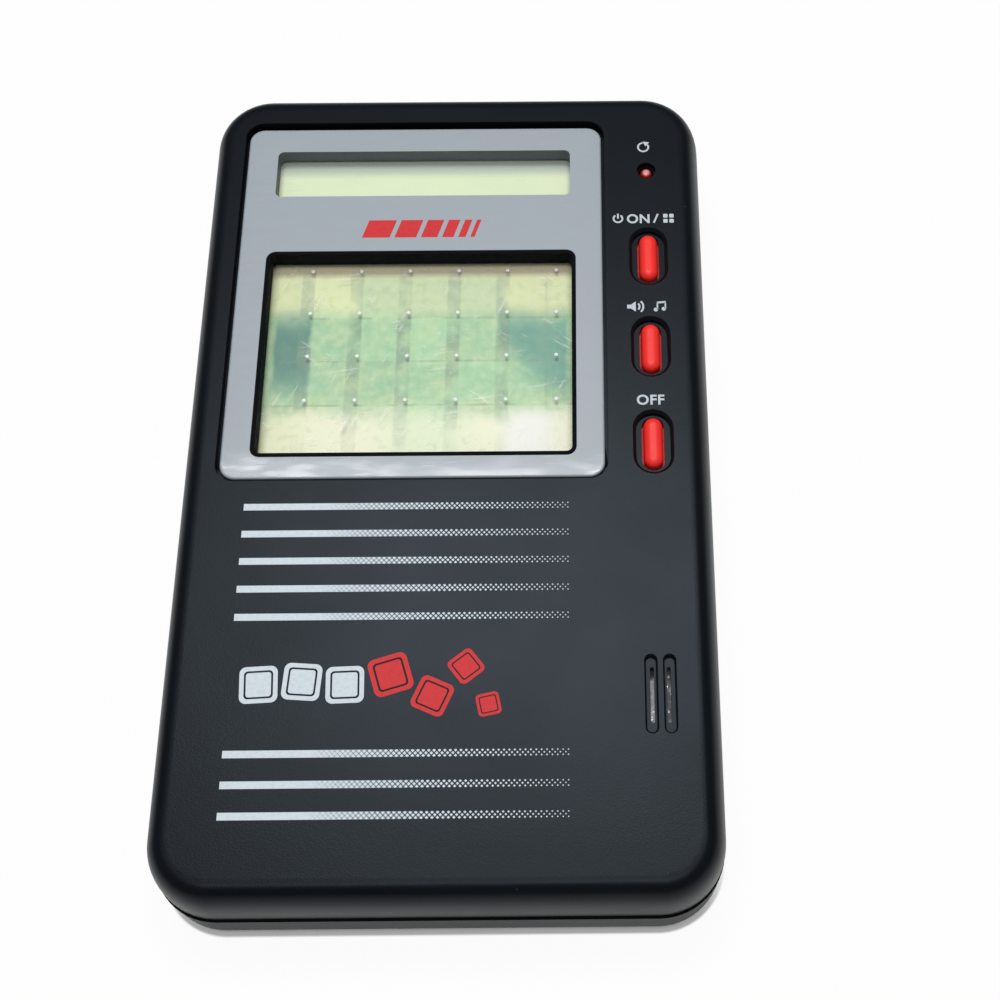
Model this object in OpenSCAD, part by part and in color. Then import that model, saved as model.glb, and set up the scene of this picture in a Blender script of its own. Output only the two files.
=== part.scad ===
// Handheld electronic word game with a status display, a touch screen, three
// pill buttons, a reset button, a sounder and a battery door.
// Origin: centre of the underside. +X right, +Y towards the status display, +Z out of the face.

/* [Case] */
// Width of the case, at the seam
case_w = 83; // [81:0.5:90]
// Length of the case, at the seam
case_l = 139; // [137:0.5:150]
// Height of the front case, from the seam to the face
front_h = 9.6; // [9.2:0.1:12]
// Height of the rear case, from the underside to the seam
rear_h = 9; // [8.8:0.1:12]
// Thickness of the case walls
wall = 1.8; // [1.6:0.1:2.2]
// Radius of the case corners, seen from above
corner_r = 9.8; // [9:0.1:11]
// Width of the oval edge that runs from the face down to the seam
edge_roll = 3.9; // [3.4:0.1:4.6]
// Radius of the rolled edge of the underside
rear_roll = 2; // [1:0.1:2.4]
// Lean of the front case's inner sides, in degrees
front_draft = 6.5; // [3:0.5:8]
// Lean of the rear case's sides, in degrees
rear_draft = 1; // [0.5:0.5:4]
// Height of the shadow line between the two cases
seam_gap = 0.4; // [0.2:0.1:0.6]
// How far the rear case's ends stand out beyond the front case
rear_proud = 0.35; // [0:0.05:0.5]
// Thickness of the tongue inside the seam
tongue_t = 0.8; // [0.6:0.1:1]
// Height of the tongue above the rear case's rim
tongue_h = 1.6; // [1:0.1:2]

/* [Bezel] */
// Thickness of the bezel plate
bezel_t = 1; // [0.8:0.1:1.2]
// How far the bezel lies below the face
bezel_sink = 0.8; // [0.5:0.1:1]
// Corner radius of the bezel
bezel_corner_r = 2.5; // [1.5:0.1:4]
// Round on the bezel's upper edge
bezel_roll = 0.35; // [0.2:0.05:0.5]
// Gap between the bezel's sides and its recess
bezel_gap = 0.5; // [0.2:0.05:0.6]
// Gap between the bezel's ends and its recess
bezel_end_gap = 0.75; // [0.2:0.05:0.9]
// From the case's left side to the bezel
bezel_left = 6.2; // [6:0.1:7]
// From the bezel to the case's right side
bezel_right = 16.8; // [16.4:0.1:18]
// From the case's top end to the bezel
bezel_top = 7.3; // [7:0.1:8]
// Thickness of the recess floor under the bezel
recess_floor = 1.2; // [1:0.1:1.4]

/* [Windows] */
// Length of the touch window
game_l = 37.8; // [36:0.1:38.5]
// From the bezel's left edge to the touch window
game_left = 4.5; // [4:0.1:6]
// From the touch window to the bezel's right edge
game_right = 4.4; // [4:0.1:6]
// From the bezel's bottom edge to the touch window
game_bottom = 3.7; // [3.5:0.1:4.2]
// Corner radius of the touch window
game_corner_r = 1.6; // [1:0.1:2]
// Depth of the touch film below the bezel's face
touch_depth = 3.2; // [3:0.1:3.6]
// Thickness of the black collar inside the touch window
collar_t = 0.6; // [0.4:0.1:1]
// Gap between the collar and the bezel
collar_gap = 0.1; // [0.05:0.05:0.2]
// Length of the status window
status_l = 9.1; // [8:0.1:9.5]
// From the bezel's left edge to the status window
status_left = 5.1; // [4.8:0.1:7]
// From the status window to the bezel's right edge
status_right = 5.3; // [4.8:0.1:7]
// From the bezel's top edge to the status window
status_top = 4.7; // [4.4:0.1:5]
// Corner radius of the status window
status_corner_r = 1; // [0.6:0.1:1.5]
// Width of the bar between the two windows
window_gap = 10.9; // [10:0.1:12]
// Depth of the status pane below the bezel's face
status_depth = 2.6; // [2.4:0.1:2.8]
// Thickness of the skirt under the status window
skirt_t = 0.8; // [0.6:0.1:1]

/* [Touch screen] */
// How far the touch layers reach beyond the window
touch_border = 2.2; // [1.6:0.1:2.4]
// Thickness of the foam gasket
gasket_t = 0.3; // [0.2:0.05:0.5]
// Thickness of the touch film
film_t = 0.2; // [0.1:0.05:0.3]
// Thickness of the spacer layer
spacer_t = 0.2; // [0.1:0.05:0.3]
// Thickness of the touch base
base_t = 0.9; // [0.7:0.1:1.1]
// Width of the spacer's adhesive frame
spacer_w = 2; // [1.4:0.1:2.2]
// Diameter of a spacer dot
dot_d = 0.6; // [0.4:0.1:1]
// Columns of spacer dots
dot_cols = 6; // [4:1:6]
// Rows of spacer dots
dot_rows = 4; // [3:1:4]
// From the window's left side to the first column of dots
dot_left = 7.28; // [3:0.01:8]
// From the last column of dots to the window's right side
dot_right = 3.29; // [3:0.01:8]
// From the window's top side to the first row of dots
dot_top = 1.74; // [1:0.01:6]
// From the last row of dots to the window's bottom side
dot_bottom = 11.76; // [3:0.01:13]
// Width of the flex tail
tail_w = 8; // [5:0.5:12]
// Thickness of the flex tail
tail_t = 0.15; // [0.1:0.05:0.2]

/* [Displays] */
// Thickness of each glass plate of a display
glass_t = 0.95; // [0.8:0.05:1]
// Thickness of the reflector behind a display
reflector_t = 0.15; // [0.1:0.05:0.2]
// How far a display reaches beyond its window
glass_border = 1.4; // [1:0.1:1.6]
// Width of the display's contact ledge
ledge_w = 2.6; // [2.2:0.1:3]
// Thickness of a rubber connector strip
strip_t = 1.8; // [1.4:0.1:2]
// Thickness of the clear status pane
pane_t = 0.6; // [0.5:0.1:0.8]
// Play between the displays and their frame
frame_play = 0.2; // [0.1:0.05:0.3]
// Width of the frame's outer walls
frame_wall = 1.4; // [1.2:0.1:1.6]
// Width of the shelf that carries a display
frame_shelf = 2; // [1.5:0.1:3]

/* [Board] */
// Thickness of the circuit board
board_t = 1.6; // [1.2:0.1:1.8]
// Height of the board's upper face above the underside
board_top = 8.4; // [8.2:0.1:8.6]
// Gap between the board and the case walls
board_gap = 0.35; // [0.2:0.05:0.5]
// How far the board reaches below the display frame
board_lap = 6.1; // [5.6:0.1:8]
// Diameter of the bosses that carry the board
boss_d = 3.6; // [3.4:0.1:3.8]
// Diameter of the epoxy blob over the controller
blob_d = 12; // [9:0.5:16]
// Height of the epoxy blob
blob_h = 1.6; // [1:0.1:2.5]

/* [Buttons] */
// Width of a pill button
pill_w = 3; // [2.6:0.1:3.6]
// Length of a pill button
pill_l = 8.6; // [8:0.1:9.4]
// Round on a pill button's top
pill_roll = 1.2; // [0.5:0.1:1.3]
// How far a button stands above the face
pill_proud = 0.3; // [0:0.1:1]
// Spacing of the pill buttons
pill_pitch = 17.02; // [15:0.01:17.5]
// From the case's top end to the middle pill button
pill_top = 50.92; // [49:0.01:53]
// From the case's right side to the buttons' centre line
button_inset = 9.23; // [9:0.01:9.8]
// Width of a button well
well_w = 5.4; // [5:0.1:7]
// Length of a button well
well_l = 10.2; // [9.8:0.1:12]
// Depth of a button well
well_depth = 1; // [0.8:0.1:1.2]
// Chamfer round a well's mouth
well_chamfer = 0.5; // [0.2:0.05:0.6]
// Gap round a button in its hole
button_gap = 0.3; // [0.2:0.05:0.4]
// Thickness of a well's floor
well_floor = 1.2; // [1:0.1:1.4]
// Travel of a button
button_travel = 0.8; // [0.5:0.1:0.9]
// Width of a button's flange beyond its sides
flange_w = 1.1; // [0.8:0.1:1.3]
// Thickness of a button's flange
flange_t = 1.2; // [0.8:0.1:1.4]
// From the case's top end to the reset button
reset_top = 16.9; // [16.5:0.1:19]
// Diameter of the reset button
reset_d = 2; // [1:0.1:2.4]
// Diameter of the reset well
reset_well_d = 3.2; // [2.8:0.1:4]
// How far the reset button lies below the face
reset_sink = 0.5; // [0.2:0.1:0.8]
// Diameter of a silicone dome's foot
dome_d = 6.4; // [5.6:0.1:6.8]
// Height of a silicone dome
dome_h = 3.6; // [3.2:0.1:4]
// Thickness of a silicone dome's wall
dome_t = 0.5; // [0.4:0.05:0.6]
// Thickness of a silicone dome's crown
crown_t = 0.8; // [0.6:0.1:1]
// Diameter of a carbon contact pill
contact_d = 2.4; // [2:0.1:2.6]
// Thickness of a carbon pad on the board
pad_t = 0.1; // [0.05:0.01:0.15]

/* [Sounder] */
// From the case's bottom end to the middle of the sound slots
sound_bottom = 30.12; // [27:0.01:35]
// From the case's right side to the midline between the sound slots
sound_inset = 9.13; // [9:0.01:9.8]
// Spacing of the two slot wells
slot_well_pitch = 2.75; // [2.5:0.05:3.2]
// Width of a slot well
slot_well_w = 1.5; // [1.3:0.05:2.2]
// Length of a slot well
slot_well_l = 11.6; // [11:0.1:12.4]
// Depth of a slot well
slot_well_depth = 0.8; // [0.5:0.1:1]
// Spacing of the two sound slots
slot_pitch = 2.45; // [2:0.05:2.6]
// Width of a sound slot
slot_w = 0.6; // [0.5:0.05:0.9]
// Length of a sound slot
slot_l = 8.5; // [7:0.1:9.5]
// Diameter of the sounder's brass disc
disc_d = 12.6; // [11:0.1:12.8]
// Thickness of the brass disc
disc_t = 0.25; // [0.15:0.05:0.3]
// Diameter of the ceramic disc
ceramic_d = 8.4; // [6:0.1:10]
// Thickness of the ceramic disc
ceramic_t = 0.2; // [0.15:0.05:0.3]
// From the case's right side to the sounder's centre
disc_inset = 9.9; // [9.8:0.1:11]

/* [Batteries] */
// Diameter of a cell
cell_d = 10.5; // [10:0.1:10.8]
// Length of a cell, with its nub
cell_l = 44.5; // [43:0.1:45]
// Diameter of a cell's nub
nub_d = 3.8; // [3:0.1:4.5]
// Height of a cell's nub
nub_h = 0.9; // [0.6:0.1:1.2]
// Gap between a cell and the closed door
cell_lift = 0.55; // [0.4:0.05:0.8]
// Gap between the two cells
cell_gap = 0.8; // [0.5:0.1:1.5]
// From the case's left side to the battery bay
bay_left = 11.5; // [10.5:0.1:12.2]
// From the case's bottom end to the battery bay
bay_bottom = 18.2; // [17.2:0.1:19.2]
// Gap between the cells and the bay's sides
bay_gap = 0.4; // [0.2:0.1:0.6]
// Thickness of the bay's walls
bay_wall = 1.2; // [1:0.1:1.4]
// Thickness of a battery contact
contact_t = 0.4; // [0.3:0.05:0.5]
// Wire diameter of a battery spring
spring_wire = 0.7; // [0.5:0.05:0.8]
// Radius of a battery spring at its plate
spring_r = 3.4; // [3:0.1:3.8]
// Radius of a battery spring at its tip
spring_tip_r = 2.4; // [1.8:0.1:2.8]
// Length of a battery spring, with its cell in place
spring_l = 6.7; // [5.5:0.1:7.7]
// Turns of a battery spring
spring_turns = 4.5; // [3.5:0.5:5]
// Diameter of a lead's insulation
lead_d = 1.1; // [0.8:0.1:1.2]

/* [Battery door] */
// Thickness of the battery door
door_t = 1.5; // [1.4:0.1:1.6]
// How far the door lies inside the underside
door_sink = 0.3; // [0.2:0.1:0.4]
// Gap round the door
door_gap = 0.3; // [0.2:0.05:0.4]
// How far the door reaches beyond the bay's walls
door_lap = 0.5; // [0.3:0.1:0.8]
// Diameter of a hinge pin
hinge_pin_d = 1.2; // [1:0.05:1.2]
// Length of a hinge pin
hinge_pin_l = 2.2; // [1.6:0.1:2.4]
// Clearance of a hinge pin in its bore, on the radius
hinge_clear = 0.05; // [0.03:0.01:0.08]

/* [Fasteners] */
// Diameter of a case screw's head
screw_head_d = 4.6; // [4.2:0.1:4.8]
// Height of a case screw's head
screw_head_h = 1.8; // [1.4:0.1:2]
// Diameter of a case screw's shank
screw_d = 2.2; // [2:0.1:2.4]
// Length of a case screw's shank
screw_l = 10; // [8:0.5:11]
// Height of a case screw's seat above the underside
screw_seat = 4; // [3.6:0.1:4.4]
// Diameter of the front case's screw posts
post_d = 5.2; // [4.8:0.1:5.4]
// Diameter of the rear case's screw bosses
rear_boss_d = 7.2; // [6.8:0.1:7.4]
// From the case's sides and ends to the corner screws
post_inset = 7.1; // [7:0.1:7.4]
// From the case's sides to the middle screws
mid_post_inset = 5.9; // [5.8:0.1:6.2]
// From the case's bottom end to the middle screws
mid_post_bottom = 49.5; // [49:0.1:51]
// Diameter of a board screw's head
board_screw_head_d = 3.4; // [3:0.1:3.6]
// Height of a board screw's head
board_screw_head_h = 1.2; // [1:0.1:1.5]
// Diameter of a board screw's shank
board_screw_d = 1.6; // [1.4:0.1:1.8]
// Length of a board screw's shank
board_screw_l = 5.5; // [4:0.5:6]
// Clearance round a screw's shank, on the diameter
screw_clear = 0.1; // [0.06:0.02:0.2]

/* [Hidden] */
$fn = 64;
// How far a cut runs past the face it opens
over = 1;
// How far pieces of one solid run into each other
bite = 0.4;

// Heights above the underside
face_z = rear_h + front_h;
inner_z = face_z - wall;
bezel_face_z = face_z - bezel_sink;
recess_z = bezel_face_z - bezel_t;
film_z = bezel_face_z - touch_depth;
game_glass_z = film_z - film_t - spacer_t - base_t;
pane_z = bezel_face_z - status_depth;
status_glass_z = pane_z - pane_t;
board_z = board_top - board_t;
well_z = face_z - well_depth;
flange_gap = 0.1;
flange_z = well_z - well_floor - flange_gap;
crown_z = board_top + dome_h;
contact_gap = 0.05;
floor_z = wall;

// Sizes of the bezel and its windows, which follow the case and each other
bezel_w = case_w - bezel_left - bezel_right;
bezel_l = status_top + status_l + window_gap + game_l + game_bottom;
game_w = bezel_w - game_left - game_right;
status_w = bezel_w - status_left - status_right;

// Centres and corners seen from above: [x, y]
bezel_x = -case_w/2 + bezel_left + bezel_w/2;
bezel_y = case_l/2 - bezel_top - bezel_l/2;
game_c = [bezel_x - bezel_w/2 + game_left + game_w/2, bezel_y - bezel_l/2 + game_bottom + game_l/2];
status_c = [bezel_x - bezel_w/2 + status_left + status_w/2, bezel_y + bezel_l/2 - status_top - status_l/2];
button_x = case_w/2 - button_inset;
sound_x = case_w/2 - sound_inset;
disc_x = case_w/2 - disc_inset;
sound_y = -case_l/2 + sound_bottom;
dot_0 = [game_c[0] - game_w/2 + dot_left, game_c[1] + game_l/2 - dot_top];
dot_pitch_x = (game_w - dot_left - dot_right)/(dot_cols - 1);
dot_pitch_y = (game_l - dot_top - dot_bottom)/(dot_rows - 1);
reset_c = [button_x, case_l/2 - reset_top];
pill_y = case_l/2 - pill_top;
function pill_c(i) = [button_x, pill_y + (1 - i)*pill_pitch];

// Corners of the board and of the display frame
seam_clear = 0.15;
board_inset = wall + tongue_t + seam_clear + board_gap;
board_w = case_w - 2*board_inset;
board_y1 = case_l/2 - board_inset;
board_corner_r = corner_r - wall - tongue_t;
touch_w = game_w + 2*touch_border;
touch_l = game_l + 2*touch_border;
glass_w = game_w + 2*glass_border;
glass_l = game_l + 2*glass_border;
status_glass_w = status_w + 2*glass_border;
status_glass_l = status_l + 2*glass_border;
frame_x0 = min(game_c[0] - glass_w/2, status_c[0] - status_glass_w/2) - frame_play - frame_wall;
frame_x1 = max(game_c[0] + glass_w/2, status_c[0] + status_glass_w/2) + frame_play + frame_wall;
frame_y0 = game_c[1] - glass_l/2 - ledge_w - frame_play - frame_wall;
frame_y1 = status_c[1] + status_glass_l/2 + frame_play + frame_wall;
board_bottom = frame_y0 - board_lap;
game_strip_y = game_c[1] - glass_l/2 - ledge_w/2;
status_strip_y = status_c[1] - status_glass_l/2 - ledge_w/2;

// Screw places seen from above
corner_posts = [for (sx = [-1, 1], sy = [-1, 1]) [sx*(case_w/2 - post_inset), sy*(case_l/2 - post_inset)]];
mid_posts = [for (sx = [-1, 1]) [sx*(case_w/2 - mid_post_inset), -case_l/2 + mid_post_bottom]];
posts = concat(corner_posts, mid_posts);
boss_inset = 4.6;
left_boss_x = -case_w/2 + boss_inset;
right_boss_x = case_w/2 - boss_inset;
gap_1_y = pill_y + pill_pitch*1.5;
gap_2_y = pill_y - pill_pitch/2;
bosses = [
    [left_boss_x, game_c[1] + game_l/2],
    [left_boss_x, game_c[1] - game_l/2 + boss_d],
    [right_boss_x, gap_1_y],
    [right_boss_x, gap_2_y],
    [bezel_x, frame_y0 - boss_d]
];

// Battery bay and door
door_top_z = door_sink + door_t;
cell_z = door_top_z + cell_lift + cell_d/2;
cell_pitch = cell_d + cell_gap;
bay_l = cell_l + spring_l + 2*contact_t;
bay_w = cell_pitch + cell_d + 2*bay_gap;
bay_roof_z = cell_z + cell_d/2 + bay_gap;
bay_x0 = -case_w/2 + bay_left;
bay_x1 = bay_x0 + bay_l;
bay_x = bay_x0 + bay_l/2;
bay_y = -case_l/2 + bay_bottom + bay_w/2;
cell_1_y = bay_y + cell_pitch/2;
cell_2_y = bay_y - cell_pitch/2;
plate_w = cell_d - 1.5;
plate_z = cell_z - plate_w/2;
tab_w = 2.2;
tab_h = 0.8;
tab_z = bay_roof_z + bay_wall + tab_h;
door_w = bay_l + 2*bay_wall + 2*door_lap;
hinge_r = door_t/2;
hinge_y = bay_y + bay_w/2 + bay_wall + door_lap + hinge_r;
hinge_z = door_sink + hinge_r;
door_y0 = bay_y - bay_w/2 - bay_wall - door_lap;

// Colours
black = [0.13, 0.14, 0.16];
grey_black = [0.2, 0.21, 0.23];
silver = [0.66, 0.69, 0.73];
red = [0.9, 0.24, 0.2];
clear = [0.85, 0.9, 0.9, 0.35];
lcd_green = [0.72, 0.8, 0.6];
lcd_pale = [0.86, 0.91, 0.77];
board_green = [0.1, 0.4, 0.25];
brass = [0.8, 0.65, 0.35];
steel = [0.7, 0.71, 0.73];
carbon = [0.08, 0.08, 0.08];
rubber_white = [0.85, 0.85, 0.82];

// Upright side of depth d and height h that rolls over with radius r
module rolled_side(d, h, r) {
    square([d - r, h]);
    square([d, h - r]);
    translate([d - r, h - r])
        intersection() {
            circle(r);
            square(r);
        }
}

// Leaning side of depth d and height h: in by the draft, then over with radius r, as a fine polygon
module leaning_side(d, h, r, draft) {
    steps = 14;
    roll_z = h - r;
    roll_x = d - roll_z*tan(draft) - r/cos(draft);
    turn = (90 - draft)/steps;
    roll = [for (k = [0:steps]) [roll_x + r*cos(draft + k*turn), roll_z + r*sin(draft + k*turn)]];
    polygon(concat([[0, 0], [d, 0]], roll, [[0, h]]));
}

// Full oval side of depth d and height h: upright at the foot, level across the width a, as a fine polygon
module oval_side(d, h, a) {
    steps = 18;
    turn = 90/steps;
    fullness = 2.75;
    side = [for (k = [0:steps]) [d - a + a*pow(cos(k*turn), 2/fullness), h*pow(sin(k*turn), 2/fullness)]];
    polygon(concat([[0, 0]], side, [[0, h]]));
}

// Block with round corners, standing on z = 0, whose child is the outline of its sides
module sided_block(w, l, h, corner) {
    translate([corner - w/2, corner - l/2, 0])
        cube([w - 2*corner, l - 2*corner, h]);
    for (k = [0:3]) {
        across = k % 2 == 0 ? w : l;
        along = k % 2 == 0 ? l : w;
        rotate([0, 0, 90*k])
            translate([across/2 - corner, along/2 - corner, 0]) {
                rotate([90, 0, 0])
                    linear_extrude(along - 2*corner)
                        children();
                rotate_extrude(angle = 90)
                    children();
            }
    }
}

// Case half with leaning, rolled sides, grown outwards by the draft where it runs on below its rim
module case_block(inset, h, r, draft, below) {
    flare = below*tan(draft);
    corner = corner_r - inset + flare;
    translate([0, 0, -below])
        sided_block(case_w - 2*inset + 2*flare, case_l - 2*inset + 2*flare, h + below, corner)
            leaning_side(corner, h + below, r, draft);
}

// Upright plate with round corners, standing on z = 0
module round_plate(w, l, h, corner) {
    translate([-w/2, corner - l/2, 0])
        cube([w, l - 2*corner, h]);
    translate([corner - w/2, -l/2, 0])
        cube([w - 2*corner, l, h]);
    for (sx = [-1, 1], sy = [-1, 1])
        translate([sx*(w/2 - corner), sy*(l/2 - corner), 0])
            cylinder(r = corner, h = h);
}

// Plain plate centred on the axis, standing on z = 0
module plate(w, l, h) {
    translate([-w/2, -l/2, 0])
        cube([w, l, h]);
}

// Stadium along Y with straight sides, standing on z = 0
module stadium(w, l, h) {
    plate(w, l - w, h);
    for (s = [-1, 1])
        translate([0, s*(l - w)/2, 0])
            cylinder(d = w, h = h);
}

// Stadium along Y with a rolled upper edge, standing on z = 0
module rolled_stadium(w, l, h, r) {
    for (s = [0, 1])
        rotate([0, 0, 180*s])
            translate([0, (l - w)/2, 0]) {
                rotate_extrude(angle = 180)
                    rolled_side(w/2, h, r);
                rotate([90, 0, 0])
                    linear_extrude(l - w)
                        rolled_side(w/2, h, r);
            }
}

// Stadium well that opens upwards at z = 0, with a chamfered mouth
module stadium_well(w, l, depth, chamfer) {
    translate([0, 0, -depth])
        stadium(w, l, depth + over);
    mouth = w/2 + chamfer;
    for (s = [-1, 1])
        translate([0, s*(l - w)/2, -chamfer])
            cylinder(r1 = w/2, r2 = mouth + over, h = chamfer + over);
    translate([0, (l - w)/2, 0])
        rotate([90, 0, 0])
            linear_extrude(l - w)
                polygon([[-w/2, -chamfer], [w/2, -chamfer], [mouth + over, over], [-mouth - over, over]]);
}

// Pan-head screw with a cross recess, seat at z = 0, shank upwards
module screw(head_d, head_h, shank_d, shank_l) {
    slot_t = head_d/6;
    slot_reach = head_d*0.6;
    cylinder(d = shank_d, h = shank_l);
    difference() {
        translate([0, 0, -head_h])
            cylinder(d = head_d, h = head_h);
        for (a = [0, 90])
            rotate([0, 0, a])
                translate([0, 0, -head_h - over])
                    plate(slot_t, slot_reach, over + head_h/2);
    }
}

// Point on the smooth curve from b to c, with the neighbours a and d
function curve_point(a, b, c, d, t) =
    0.5*(2*b + (c - a)*t + (2*a - 5*b + 4*c - d)*t*t + (3*b - a - 3*c + d)*t*t*t);

// Smooth curve through hand-chosen points, with n steps between two points
function curve(p, n) = concat(
    [for (i = [0:len(p) - 2], k = [0:n - 1])
        curve_point(p[max(i - 1, 0)], p[i], p[i + 1], p[min(i + 2, len(p) - 1)], k/n)],
    [p[len(p) - 1]]
);

function unit(v) = v/norm(v);

// Round tube along points whose run stays off the X direction
module tube(points, r, sides) {
    last = len(points) - 1;
    rings = [for (i = [0:last])
        let (t = unit(points[min(i + 1, last)] - points[max(i - 1, 0)]))
        let (u = unit(cross([1, 0, 0], t)))
        let (v = cross(t, u))
        for (j = [0:sides - 1]) points[i] + r*(cos(360*j/sides)*u + sin(360*j/sides)*v)];
    walls = [for (i = [0:last - 1], j = [0:sides - 1])
        let (a = i*sides + j)
        let (b = i*sides + (j + 1) % sides)
        for (f = [[a, a + sides, b], [b, a + sides, b + sides]]) f];
    start = [for (j = [1:sides - 2]) [0, j, j + 1]];
    finish = [for (j = [1:sides - 2]) [last*sides, last*sides + j + 1, last*sides + j]];
    polyhedron(rings, concat(walls, start, finish));
}

// Cone-shaped spring along +X from its plate at x = 0
module coil(reach) {
    steps = 8*spring_turns;
    tube([for (i = [0:steps])
        let (s = i/steps)
        let (r = spring_r + (spring_tip_r - spring_r)*s)
        [spring_wire/4 + reach*s, r*cos(360*spring_turns*s), r*sin(360*spring_turns*s)]],
        spring_wire/2, 6);
}

module at(c, z) {
    translate([c[0], c[1], z])
        children();
}

// Hollow shell of the front case, before anything is cut or added
module front_shell() {
    translate([0, 0, rear_h])
        difference() {
            sided_block(case_w, case_l, front_h, corner_r)
                oval_side(corner_r, front_h, edge_roll);
            case_block(wall, front_h - wall, edge_roll - wall, front_draft, over);
        }
}

// Hollow shell of the rear case, its rim a shadow line below the seam
rim_z = rear_h - seam_gap;
module rear_shell() {
    inner_roll = 0.6;
    translate([0, 0, rim_z])
        mirror([0, 0, 1])
            difference() {
                sided_block(case_w, case_l + 2*rear_proud, rim_z, corner_r)
                    leaning_side(corner_r, rim_z, rear_roll, rear_draft);
                case_block(wall, rim_z - wall, inner_roll, rear_draft, over);
            }
}

// Seat for the sounder: a ring with a shelf that its disc lies against
shelf_drop = 1.5;
shelf_z = inner_z - shelf_drop;
module sounder_seat() {
    seat_wall = 0.5;
    shelf_w = 0.9;
    play = 0.2;
    rim_z = shelf_z - disc_t - ceramic_t;
    shelf_r = disc_d/2 - shelf_w;
    ring_r = disc_d/2 + play;
    at([disc_x, sound_y], 0)
        rotate_extrude()
            polygon([
                [shelf_r, shelf_z], [ring_r, shelf_z], [ring_r, rim_z], [ring_r + seat_wall, rim_z],
                [ring_r + seat_wall, inner_z + bite], [shelf_r, inner_z + bite]
            ]);
}

module front_case() {
    pad_lap = 1.5;
    recess_w = bezel_w + 2*bezel_gap;
    recess_l = bezel_l + 2*bezel_end_gap;
    recess_r = bezel_corner_r + bezel_gap;
    collar_w = game_w - 2*collar_gap;
    collar_l = game_l - 2*collar_gap;
    collar_r = game_corner_r - collar_gap;
    collar_z = film_z + gasket_t;
    well_pad_z = well_z - well_floor;
    skirt_hole_w = status_w + 2*skirt_t + 2*frame_play;
    skirt_hole_l = status_l + 2*skirt_t + 2*frame_play;
    pilot_d = screw_d + screw_clear;
    board_pilot_d = board_screw_d + screw_clear;
    color(black)
    difference() {
        union() {
            difference() {
                union() {
                    front_shell();
                    at([bezel_x, bezel_y], recess_z - recess_floor)
                        round_plate(recess_w + 2*pad_lap, recess_l + 2*pad_lap, recess_floor + bite,
                            recess_r + pad_lap);
                    for (i = [0:2])
                        at(pill_c(i), well_pad_z)
                            stadium(well_w + 2*wall, well_l + 2*wall, inner_z - well_pad_z + bite);
                    at(reset_c, well_pad_z)
                        cylinder(d = reset_well_d + 2*wall, h = inner_z - well_pad_z + bite);
                    for (p = posts)
                        at(p, rear_h)
                            cylinder(d = post_d, h = inner_z - rear_h + bite);
                    for (b = bosses)
                        at(b, board_top)
                            cylinder(d = boss_d, h = inner_z - board_top + bite);
                    sounder_seat();
                }
                at([bezel_x, bezel_y], recess_z)
                    round_plate(recess_w, recess_l, face_z - recess_z + over, recess_r);
            }
            at(game_c, collar_z)
                round_plate(collar_w, collar_l, bezel_face_z - collar_z, collar_r);
        }
        at(game_c, collar_z - over)
            round_plate(collar_w - 2*collar_t, collar_l - 2*collar_t, touch_depth + 2*over,
                collar_r - collar_t);
        at(status_c, recess_z - recess_floor - over)
            round_plate(skirt_hole_w, skirt_hole_l, recess_floor + 2*over, status_corner_r + skirt_t);
        for (i = [0:2])
            at(pill_c(i), face_z) {
                stadium_well(well_w, well_l, well_depth, well_chamfer);
                translate([0, 0, -front_h])
                    stadium(pill_w + 2*button_gap, pill_l + 2*button_gap, front_h);
            }
        at(reset_c, 0) {
            translate([0, 0, well_z])
                cylinder(d = reset_well_d, h = well_depth + over);
            translate([0, 0, rear_h])
                cylinder(d = reset_d + 2*button_gap, h = front_h);
        }
        for (s = [-1, 1]) {
            at([sound_x + s*slot_well_pitch/2, sound_y], face_z)
                stadium_well(slot_well_w, slot_well_l, slot_well_depth, well_chamfer/2);
            at([sound_x + s*slot_pitch/2, sound_y], rear_h)
                stadium(slot_w, slot_l, front_h);
        }
        for (p = posts)
            at(p, rear_h - over)
                cylinder(d = pilot_d, h = screw_seat + screw_l - rear_h + 2*over);
        for (b = bosses)
            at(b, board_top - over)
                cylinder(d = board_pilot_d, h = board_screw_l - board_t + 2*over);
    }
}

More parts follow.
